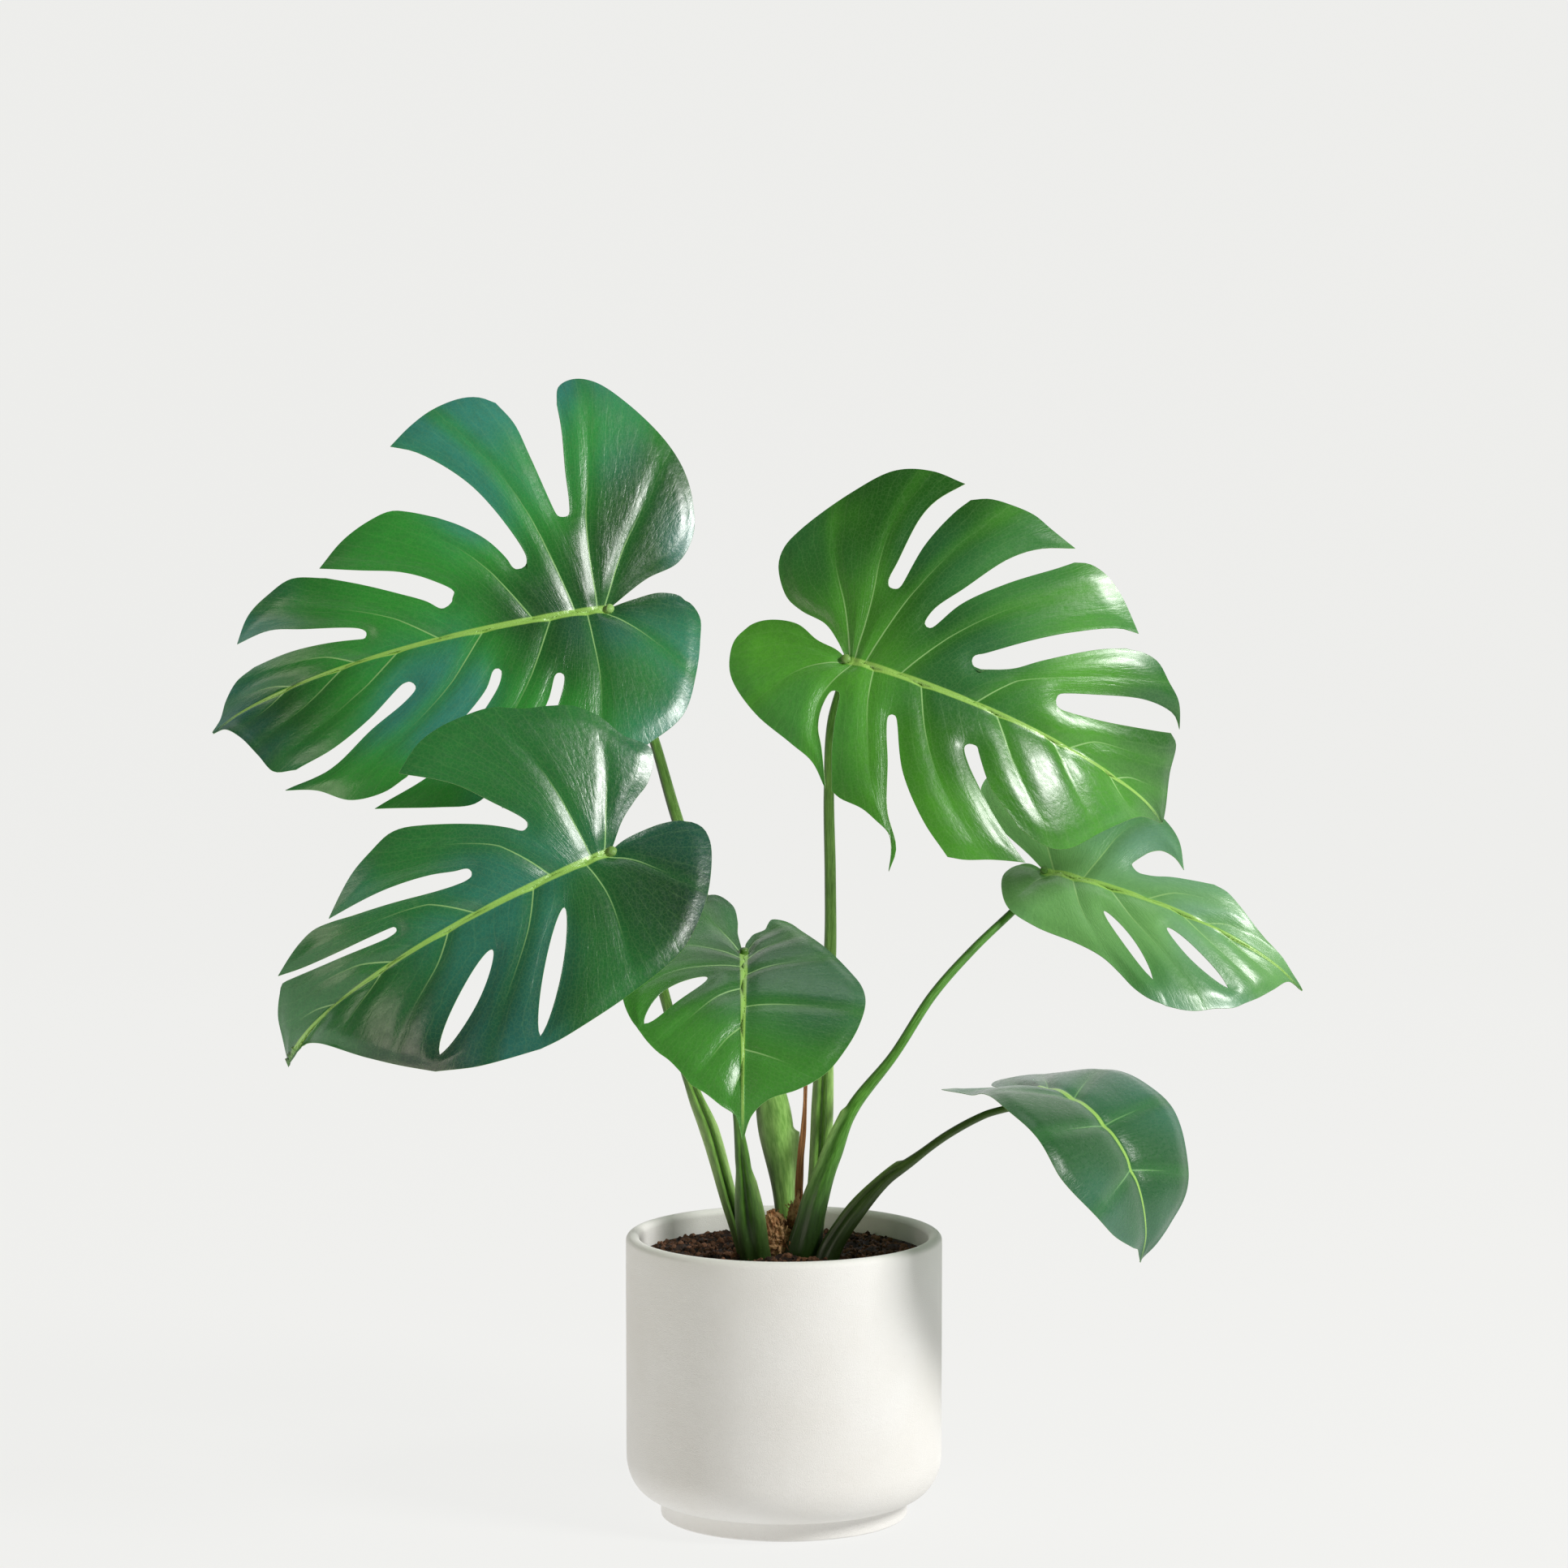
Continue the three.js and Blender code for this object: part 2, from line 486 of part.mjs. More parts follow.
// a point whose height is given above the soil
function onSoil([x, y, z]) {
  return [x, y, z + SOIL_LEVEL];
}

// the buried end is put straight below the first point above it
function buried(points) {
  const [x, y] = points[0];
  return [[x, y, -STALK_BURIED], ...points].map(onSoil);
}

// ---------------------------------------------------------------- leaf blades

// Bends a flat outline into the hanging blade: the midrib arches down towards the
// tip, and each half folds up from the midrib and curls down again at its margin.
class BladeForm {
  constructor(leaf) {
    const { yaw, pitch, roll } = leaf;
    const [y, p, r] = [radians(yaw), radians(pitch), radians(roll)];
    this.leaf = leaf;
    this.attach = vector(onSoil(leaf.attach));
    this.along = new THREE.Vector3(Math.cos(y) * Math.cos(p), Math.sin(y) * Math.cos(p), Math.sin(p));
    const level = new THREE.Vector3(-Math.sin(y), Math.cos(y), 0);
    const upward = new THREE.Vector3().crossVectors(this.along, level);
    this.across = level.clone().multiplyScalar(Math.cos(r)).addScaledVector(upward, Math.sin(r));
    this.up = upward.clone().multiplyScalar(Math.cos(r)).addScaledVector(level, -Math.sin(r));
  }

  // slope of the midrib at a share x of its length, in radians
  slope(x) {
    const { arch, droop, back } = this.leaf;
    if (x < 0) return -radians(back) * x;
    return -(radians(arch) * x + radians(droop) * x ** 3);
  }

  // point of the bent midrib at x, found by adding up short straight steps
  midrib(x) {
    const steps = 24;
    let [along, up] = [0, 0];
    for (let i = 0; i < steps; i += 1) {
      const angle = this.slope((x * (i + 0.5)) / steps);
      along += (Math.cos(angle) * x) / steps;
      up += (Math.sin(angle) * x) / steps;
    }
    return [along, up];
  }

  // place in space of the flat point (x, y), raised by lift millimetres
  at(x, y, lift = 0) {
    const half = y >= 0 ? 0 : 1;
    const fold = radians(this.leaf.fold[half]);
    const curl = radians(this.leaf.curl[half]);
    const reach = Math.abs(y);
    const out = (Math.sin(fold) - Math.sin(fold - curl * reach)) / curl;
    const rise = (Math.cos(fold - curl * reach) - Math.cos(fold)) / curl + lift / this.leaf.length;
    const slope = this.slope(x);
    const [midAlong, midUp] = this.midrib(x);
    const along = midAlong - Math.sin(slope) * rise;
    const up = midUp + Math.cos(slope) * rise;
    return this.attach.clone()
      .addScaledVector(this.along, along * this.leaf.length)
      .addScaledVector(this.across, Math.sign(y) * out * this.leaf.length)
      .addScaledVector(this.up, up * this.leaf.length);
  }
}

const ROWS = SEAM_ROWS + SLIT_ROWS + MARGIN_ROWS;

// the two banks of a slit as columns of points from the midrib to the margin
function slitColumns(slit, baseTip, nextShoulder) {
  const seam = spaced([[slit.foot, 0], slit.notch], SEAM_ROWS);
  if (slit.close) return holeColumns(slit, seam);
  const open = ROWS - SEAM_ROWS;
  const [notch, base, tip] = [slit.notch, slit.base[0], slit.tip[0]].map(vector);
  const outward = base.clone().add(tip).multiplyScalar(0.5).sub(notch).normalize();
  const towardsBase = base.clone().sub(tip).projectOnPlane(outward).normalize();
  const corner = (side) => notch.clone().addScaledVector(outward, NOTCH_ROUND / 2)
    .addScaledVector(towardsBase, side * NOTCH_ROUND).toArray();
  const baseBank = spaced([slit.notch, corner(1), ...slit.base, baseTip], open);
  const tipBank = spaced([slit.notch, corner(-1), ...slit.tip, nextShoulder], open);
  return [[...seam, ...baseBank.slice(1)], [...seam, ...tipBank.slice(1)]];
}

// a hole closes again: both banks share the seam's first and last stretch
function holeColumns(hole, seam) {
  const middle = spaced([hole.notch, hole.mid, hole.close], SLIT_ROWS);
  const outer = spaced([hole.close, hole.exit], MARGIN_ROWS).slice(1);
  const direction = vector(hole.close).sub(vector(hole.notch)).normalize();
  const sideways = new THREE.Vector3(-direction.y, direction.x, 0);
  const bank = (side) => middle.slice(1).map((p, i) => {
    const bulge = Math.sin((Math.PI * (i + 1)) / SLIT_ROWS) ** 0.5;
    return p.clone().addScaledVector(sideways, (side * hole.width * bulge) / 2);
  });
  return [[...seam, ...bank(1), ...outer], [...seam, ...bank(-1), ...outer]];
}

// a surface patch between four edges: bottom and top run across, first and last up
function patchPoint(first, last, bottom, top, a, t, i, j) {
  const point = new THREE.Vector3();
  point.addScaledVector(first[j], 1 - a).addScaledVector(last[j], a);
  point.addScaledVector(bottom[i], 1 - t).addScaledVector(top[i], t);
  point.addScaledVector(bottom[0], -(1 - a) * (1 - t)).addScaledVector(bottom.at(-1), -a * (1 - t));
  point.addScaledVector(top[0], -(1 - a) * t).addScaledVector(top.at(-1), -a * t);
  return point;
}

// the grid of one lobe: grid[column][row], row 0 on the midrib
function lobeGrid(rim, first, last, footFrom, footTo) {
  const rimLine = smoothLine(rim);
  const columns = Math.max(4, Math.round(rimLine.getLength() / COLUMN_STEP));
  const bottom = [];
  const top = [];
  for (let i = 0; i <= columns; i += 1) {
    const a = i / columns;
    const foot = THREE.MathUtils.lerp(footFrom, footTo, a);
    bottom.push(new THREE.Vector3(Math.round(foot / MIDRIB_STEP) * MIDRIB_STEP, 0, 0));
    top.push(rimLine.getPointAt(1 - (1 - a) ** VEIN_LEAN));
  }
  return bottom.map((_, i) => first.map((__, j) => (
    patchPoint(first, last, bottom, top, i / columns, j / ROWS, i, j)
  )));
}

// all lobes of one half, from the base to the tip
function halfGrids(half, tip) {
  const { sinus, lobes, slits } = half;
  let first = spaced(sinus, ROWS);
  let footFrom = 0;
  return lobes.map((rim, k) => {
    const slit = slits[k];
    const [last, next] = slit
      ? slitColumns(slit, rim.at(-1), lobes[k + 1][0])
      : [first.map(() => new THREE.Vector3(tip, 0, 0)), null];
    const footTo = slit ? slit.foot : tip;
    const grid = lobeGrid(rim, first, last, footFrom, footTo);
    [first, footFrom] = [next, footTo];
    return grid;
  });
}

// Collects the flat triangles of both halves. Points that fall together are one
// vertex, and cells on the midrib take in the other half's midrib points as well.
class FlatSheet {
  constructor() {
    this.points = [];
    this.index = new Map();
    this.triangles = [];
  }

  vertex(x, y) {
    const key = `${Math.round(x * 1e5)},${Math.round(y * 1e5)}`;
    if (!this.index.has(key)) {
      this.index.set(key, this.points.length);
      this.points.push([x, y]);
    }
    return this.index.get(key);
  }

  triangle(a, b, c, side) {
    if (a === b || b === c || a === c) return;
    this.triangles.push(side > 0 ? [a, b, c] : [a, c, b]);
  }

  addHalf(grids, side, midribStops) {
    const place = (p) => this.vertex(p.x, side * p.y);
    for (const grid of grids) {
      for (let i = 0; i < grid.length - 1; i += 1) {
        this.addMidribCell(grid, i, side, midribStops, place);
        for (let j = 1; j < ROWS; j += 1) {
          const [a, b] = [place(grid[i][j]), place(grid[i + 1][j])];
          const [c, d] = [place(grid[i + 1][j + 1]), place(grid[i][j + 1])];
          this.triangle(a, b, c, side);
          this.triangle(a, c, d, side);
        }
      }
    }
  }

  addMidribCell(grid, i, side, stops, place) {
    const [from, to] = [grid[i][0].x, grid[i + 1][0].x];
    const between = stops.filter((x) => x > from + 1e-6 && x < to - 1e-6);
    const foot = [from, ...between, to].map((x) => this.vertex(x, 0));
    const [inner, outer] = [place(grid[i][1]), place(grid[i + 1][1])];
    for (let k = 0; k < foot.length - 1; k += 1) this.triangle(inner, foot[k], foot[k + 1], side);
    this.triangle(inner, foot.at(-1), outer, side);
  }
}

function midribStops(grids) {
  return grids.flatMap((grid) => grid.map((column) => column[0].x)).sort((a, b) => a - b);
}

function flatBlade(leaf) {
  const sheet = new FlatSheet();
  const left = halfGrids(leaf.left, leaf.tip);
  const right = halfGrids(leaf.right, leaf.tip);
  sheet.addHalf(left, 1, midribStops(right));
  sheet.addHalf(right, -1, midribStops(left));
  return sheet;
}

function sheetNormals(points, triangles) {
  const normals = points.map(() => new THREE.Vector3());
  for (const [a, b, c] of triangles) {
    const normal = new THREE.Vector3().subVectors(points[b], points[a])
      .cross(new THREE.Vector3().subVectors(points[c], points[a]));
    for (const v of [a, b, c]) normals[v].add(normal);
  }
  return normals.map((n) => n.normalize());
}

// gives a bent sheet its thickness: an upper face, a lower face and a rim of walls
function thickened(points, triangles, thickness) {
  const normals = sheetNormals(points, triangles);
  const vertices = [];
  for (const side of [0.5, -0.5]) {
    points.forEach((p, i) => {
      const q = p.clone().addScaledVector(normals[i], side * thickness);
      vertices.push(q.x, q.y, q.z);
    });
  }
  const under = points.length;
  const faces = [];
  const edges = new Map();
  for (const [a, b, c] of triangles) {
    faces.push(a, b, c, under + a, under + c, under + b);
    for (const [from, to] of [[a, b], [b, c], [c, a]]) edges.set(`${from},${to}`, [from, to]);
  }
  for (const [from, to] of edges.values()) {
    if (edges.has(`${to},${from}`)) continue;
    faces.push(from, under + from, to, to, under + from, under + to);
  }
  return geometryOf(vertices, faces);
}

function bladeGeometry(leaf) {
  const form = new BladeForm(leaf);
  const sheet = flatBlade(leaf);
  const points = sheet.points.map(([x, y]) => form.at(x, y));
  return thickened(points, sheet.triangles, BLADE_THICKNESS);
}

// a stalk's whole line: up from the soil, then square onto the blade's underside
function stalkLine(stalk) {
  const form = new BladeForm(LEAVES.find((leaf) => leaf.name === stalk.leaf));
  const headRadius = stalk.sizes.at(-1)[1] / 2;
  const clear = BLADE_THICKNESS / 2 + GAP + HEAD_SLOPE * headRadius;
  const end = form.at(0, 0).addScaledVector(form.up, -clear);
  const neck = form.at(0, 0).addScaledVector(form.up, -clear - STALK_NECK);
  return [...buried(stalk.points), neck.toArray(), end.toArray()];
}

// ---------------------------------------------------------------- assembly

const plant = new THREE.Group();
plant.add(piece("pot", potGeometry(), 0xe6e4de, 0.75));

const rooted = [
  { line: buried(WOODY_STEM.points), form: WOODY_STEM, steps: 7 },
  { line: buried(DRY_SHEATH.points), form: DRY_SHEATH, steps: 9 },
  ...STALKS.map((stalk) => ({ line: stalkLine(stalk), form: stalk, steps: STALK_STEPS })),
];

let soil = toSolid(soilGeometry());
for (const { line, form, steps } of rooted) {
  const pocketLine = [[line[0][0], line[0][1], line[0][2] - GAP], ...line.slice(1)];
  soil = soil.subtract(toSolid(sweptGeometry(pocketLine, form.sizes, form.faces, steps, STALK_SIDES, GAP)));
}
plant.add(piece("soil", fromSolid(soil), 0x3b2a20, 1));

const [stem, sheath, ...stalks] = rooted.map(({ line, form, steps }) => (
  sweptGeometry(line, form.sizes, form.faces, steps, STALK_SIDES)
));
plant.add(piece("woody_stem", stem, 0x7a5636, 0.9));
plant.add(piece("dry_sheath", sheath, 0x8a5a2c, 0.85));
STALKS.forEach((stalk, i) => {
  plant.add(piece(`stalk_${stalk.leaf}`, stalks[i], stalk.colour, 0.5));
});
for (const leaf of LEAVES) {
  plant.add(piece(`leaf_${leaf.name}`, bladeGeometry(leaf), leaf.colour, 0.35));
}

export default plant;
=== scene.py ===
"""A potted Swiss cheese plant: six leaves on stalks round a short woody stem, in a round ceramic pot."""

import logging
import math
from collections.abc import Callable, Sequence
from dataclasses import dataclass, field
from enum import Enum

import bpy
import numpy as np
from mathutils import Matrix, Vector
from mathutils.kdtree import KDTree


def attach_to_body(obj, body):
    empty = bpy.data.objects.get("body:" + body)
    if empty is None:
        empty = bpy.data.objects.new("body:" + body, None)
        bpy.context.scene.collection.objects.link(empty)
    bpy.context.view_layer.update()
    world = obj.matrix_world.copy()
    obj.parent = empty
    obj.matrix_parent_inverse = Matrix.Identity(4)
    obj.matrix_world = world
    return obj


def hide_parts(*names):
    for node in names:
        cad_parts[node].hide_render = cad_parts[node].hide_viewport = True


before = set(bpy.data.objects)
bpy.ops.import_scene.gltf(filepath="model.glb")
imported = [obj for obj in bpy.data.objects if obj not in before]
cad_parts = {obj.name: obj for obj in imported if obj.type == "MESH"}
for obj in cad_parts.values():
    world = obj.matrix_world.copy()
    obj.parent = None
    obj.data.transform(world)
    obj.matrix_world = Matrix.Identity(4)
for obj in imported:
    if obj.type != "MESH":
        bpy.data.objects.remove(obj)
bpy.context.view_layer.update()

MM = 0.001
BODY = "root"
log = logging.getLogger("potted_monstera")

Faces = list[tuple[int, ...]]
Point = list[float]
Rows = list[list[float]]

SOIL_LEVEL = 182.0  # height of the soil's edge above the floor, mm; leaf and stalk heights start here
STALK_BURIED = 16.0  # how far stalks and stem reach below the soil's edge, mm
VEIN_LEAN = 1.4  # how strongly side veins lean towards the blade's tip
NOTCH_ROUND = 0.02  # largest rounding at the inner end of a slit, as a share of blade length
SEAM_END = 1 / 3  # share of a column that runs in the uncut blade, before a slit begins
HOLE_END = 5 / 6  # share of a column at which a hole has closed again
UNFOLD_STEPS = 700  # most rounds of opening folded cells
UNFOLD_PUSH = 1.6  # how far past the mean push each round moves a corner
LEAST_AREA = 4e-8  # twice the area that an opened triangle keeps, as a share of blade length squared
FOOT_STEP = 0.0005  # grid on which the midrib's points lie, as a share of blade length
WELD_GRID = 1e5  # cells of the grid on which two points become one, for each blade length
LANE_WIDTH = 0.045  # width of one fine band between side veins, as a share of blade length
COURSE_STEPS = 260  # points along a side vein from which distances are measured
FAR_AWAY = 1e3  # distance given to points of a half without side veins, mm


# ---------------------------------------------------------------- shared helpers


def linear(hex_colour: str) -> tuple[float, float, float, float]:
    """Turns a screen colour into the linear one that shaders use.

    Args:
        hex_colour: Six hexadecimal digits, red first.

    Returns:
        Red, green, blue and an alpha of 1.
    """
    parts = [int(hex_colour[i : i + 2], 16) / 255 for i in (0, 2, 4)]
    lit = [p / 12.92 if p <= 0.04045 else ((p + 0.055) / 1.055) ** 2.4 for p in parts]
    return (lit[0], lit[1], lit[2], 1.0)


def unit(vectors: np.ndarray) -> np.ndarray:
    """Returns the vectors scaled to length 1."""
    length = np.linalg.norm(vectors, axis=-1, keepdims=True)
    return vectors / np.maximum(length, 1e-12)


def smoothstep(value: np.ndarray, low: float, high: float) -> np.ndarray:
    """Returns 0 below low, 1 above high and an eased value between."""
    share = np.clip((value - low) / (high - low), 0.0, 1.0)
    return share * share * (3 - 2 * share)


def eased(rows: Sequence[Sequence[float]], shares: np.ndarray, column: int) -> np.ndarray:
    """Reads a column of rows that start with a share, easing from row to row.

    Args:
        rows: Rows of numbers, the first of each being its share.
        shares: Where to read the column.
        column: Which number of a row to read.

    Returns:
        The eased values at the shares.
    """
    value = np.full(np.shape(shares), float(rows[0][column]))
    for before, after in zip(rows, rows[1:]):
        value += (after[column] - before[column]) * smoothstep(shares, before[0], after[0])
    return value


def on_soil(points: Sequence[Sequence[float]]) -> np.ndarray:
    """Returns points whose heights are given above the soil as heights above the floor."""
    return np.array(points, float) + np.array([0.0, 0.0, SOIL_LEVEL])


class SmoothLine:
    """A smooth line through points, read by the share of its length."""

    SPAN = 24  # steps between two given points
    REACH = 0.004  # share of the length to either side from which a direction is read

    def __init__(
        self,
        points: Sequence[Sequence[float]],
        before: Sequence[float] | None = None,
        after: Sequence[float] | None = None,
    ) -> None:
        """Samples a centripetal curve through the points.

        Args:
            points: Points in two or three dimensions.
            before: A point that the curve seems to come from, if it has one.
            after: A point that the curve seems to go on to, if it has one.
        """
        given = np.array(points, float)
        start = 2 * given[0] - given[1] if before is None else np.array(before, float)
        end = 2 * given[-1] - given[-2] if after is None else np.array(after, float)
        p = np.vstack([start, given, end])
        u = np.linspace(0, 1, self.SPAN, endpoint=False)[:, None]
        spans = []
        for x0, x1, x2, x3 in zip(p, p[1:], p[2:], p[3:]):
            gaps = (x1 - x0, x2 - x1, x3 - x2)
            d0, d1, d2 = (math.sqrt(max(float(np.linalg.norm(gap)), 1e-9)) for gap in gaps)
            t1 = ((x1 - x0) / d0 - (x2 - x0) / (d0 + d1) + (x2 - x1) / d1) * d1
            t2 = ((x2 - x1) / d1 - (x3 - x1) / (d1 + d2) + (x3 - x2) / d2) * d1
            spans.append(
                x1 + t1 * u + (3 * (x2 - x1) - 2 * t1 - t2) * u**2 + (2 * (x1 - x2) + t1 + t2) * u**3
            )
        self.points = np.vstack([*spans, given[-1:]])
        steps = np.linalg.norm(np.diff(self.points, axis=0), axis=1)
        self.lengths = np.concatenate([[0.0], np.cumsum(steps)])
        self.length = float(self.lengths[-1])

    def at(self, shares: np.ndarray) -> np.ndarray:
        """Returns the points at shares of the line's length."""
        where = np.clip(shares, 0, 1) * self.length
        return np.stack([np.interp(where, self.lengths, c) for c in self.points.T], axis=-1)

    def tangents(self, shares: np.ndarray) -> np.ndarray:
        """Returns the line's directions at shares of its length."""
        ahead, behind = np.minimum(shares + self.REACH, 1.0), np.maximum(shares - self.REACH, 0.0)
        return unit(self.at(ahead) - self.at(behind))


def new_piece(
    name: str,
    vertices: np.ndarray,
    faces: Sequence[Sequence[int]],
    layers: dict[str, np.ndarray] | None = None,
    sharp: Sequence[tuple[int, int]] = (),
) -> bpy.types.Object:
    """Makes a smooth-shaded mesh object from points in millimetres.

    Args:
        name: Name of the piece.
        vertices: Points, in millimetres.
        faces: Corners of each face.
        layers: Named numbers of each point, which the finishes read.
        sharp: Pairs of points whose edge stays crisp.

    Returns:
        The new object, linked to the scene.
    """
    mesh = bpy.data.meshes.new(name)
    mesh.from_pydata((vertices * MM).tolist(), [], [list(f) for f in faces])
    for layer, values in (layers or {}).items():
        mesh.attributes.new(layer, "FLOAT", "POINT").data.foreach_set("value", np.asarray(values, np.float32))
    mesh.polygons.foreach_set("use_smooth", np.ones(len(mesh.polygons), bool))
    if sharp:
        crisp = {tuple(sorted(pair)) for pair in sharp}
        flags = np.array([tuple(sorted(e.vertices)) in crisp for e in mesh.edges], bool)
        mesh.attributes.new("sharp_edge", "BOOLEAN", "EDGE").data.foreach_set("value", flags)
    mesh.validate()
    mesh.update()
    piece = bpy.data.objects.new(name, mesh)
    bpy.context.scene.collection.objects.link(piece)
    return piece


def declare(
    piece: bpy.types.Object, node: str, material: bpy.types.Material | None = None
) -> None:
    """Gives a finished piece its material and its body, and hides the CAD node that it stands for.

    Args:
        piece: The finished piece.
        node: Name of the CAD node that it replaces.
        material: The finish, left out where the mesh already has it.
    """
    if material is not None:
        piece.data.materials.clear()
        piece.data.materials.append(material)
    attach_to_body(piece, BODY)
    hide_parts(node)
    log.info("%s: %d faces", piece.name, len(piece.data.polygons))


# ---------------------------------------------------------------- node trees

Socket = bpy.types.NodeSocket
Input = float | tuple | Socket


class NodeGraph:
    """Adds and joins nodes in a shader or geometry tree."""

    def __init__(self, tree: bpy.types.NodeTree) -> None:
        """Keeps the tree that the nodes go into."""
        self.tree = tree

    def put(self, socket: Socket, value: Input) -> None:
        """Sets or links one input socket."""
        if isinstance(value, Socket):
            self.tree.links.new(value, socket)
        else:
            socket.default_value = value

    def node(
        self, kind: str, inputs: dict[str | int, Input] | None = None, **settings: object
    ) -> bpy.types.Node:
        """Adds a node.

        Args:
            kind: The node's type name.
            inputs: Values or sockets by input name or number.
            settings: Properties of the node.

        Returns:
            The new node.
        """
        made = self.tree.nodes.new(kind)
        for key, value in settings.items():
            setattr(made, key, value)
        for key, value in (inputs or {}).items():
            self.put(made.inputs[key], value)
        return made

    def math(self, operation: str, a: Input, b: Input = 0.0, c: Input = 0.0) -> Socket:
        """Returns the result of a maths node."""
        return self.node("ShaderNodeMath", {0: a, 1: b, 2: c}, operation=operation).outputs[0]

    def times(self, a: Input, b: Input) -> Socket:
        """Returns the product of two numbers."""
        return self.math("MULTIPLY", a, b)

    def noise(self, coordinates: Socket, scale: float, detail: float = 3.0, rough: float = 0.55) -> Socket:
        """Returns smooth noise around one half."""
        inputs = {"Vector": coordinates, "Scale": scale, "Detail": detail, "Roughness": rough}
        return self.node("ShaderNodeTexNoise", inputs).outputs[0]

    def fade(
        self, value: Input, low: float, high: float, to_low: float = 0.0, to_high: float = 1.0
    ) -> Socket:
        """Returns the value eased from one range onto another."""
        inputs = {"Value": value, "From Min": low, "From Max": high, "To Min": to_low, "To Max": to_high}
        made = self.node("ShaderNodeMapRange", inputs, interpolation_type="SMOOTHSTEP")
        return made.outputs[0]


class Shader(NodeGraph):
    """A material's nodes round one Principled shader."""

    def __init__(self, name: str) -> None:
        """Starts an empty material.

        Args:
            name: Name of the material.
        """
        self.material = bpy.data.materials.new(name)
        self.material.use_nodes = True
        super().__init__(self.material.node_tree)
        self.tree.nodes.clear()
        self.skin = self.node("ShaderNodeBsdfPrincipled")
        self.node("ShaderNodeOutputMaterial", {"Surface": self.skin.outputs[0]})
        self.place = self.node("ShaderNodeTexCoord").outputs["Object"]

    def layer(self, name: str) -> Socket:
        """Returns a number stored on the mesh."""
        return self.node("ShaderNodeAttribute", attribute_name=name).outputs["Fac"]

    def blend(self, share: Input, first: Input | str, second: Input | str) -> Socket:
        """Returns two colours blended by a share; a colour may be given as hexadecimal digits."""
        pair = [linear(colour) if isinstance(colour, str) else colour for colour in (first, second)]
        return self.node(
            "ShaderNodeMix", {"Factor": share, 6: pair[0], 7: pair[1]}, data_type="RGBA"
        ).outputs[2]

    def stretched(self, scale: tuple[float, float, float]) -> Socket:
        """Returns the piece's own coordinates, stretched."""
        return self.node("ShaderNodeMapping", {"Vector": self.place, "Scale": scale}).outputs[0]

    def joined(self, x: Input, y: Input, z: Input = 0.0) -> Socket:
        """Returns three numbers as a vector."""
        return self.node("ShaderNodeCombineXYZ", {0: x, 1: y, 2: z}).outputs[0]

    def bump(self, height: Input, depth: float, strength: float = 1.0, under: Socket | None = None) -> Socket:
        """Returns a normal raised by a height of up to depth metres."""
        made = self.node("ShaderNodeBump", {"Height": height, "Distance": depth, "Strength": strength})
        if under is not None:
            self.put(made.inputs["Normal"], under)
        return made.outputs[0]

    def finish(self, **sockets: Input) -> bpy.types.Material:
        """Sets the shader's sockets, named with _ for a space, and returns the material."""
        for name, value in sockets.items():
            self.put(self.skin.inputs[name.replace("_", " ")], value)
        return self.material


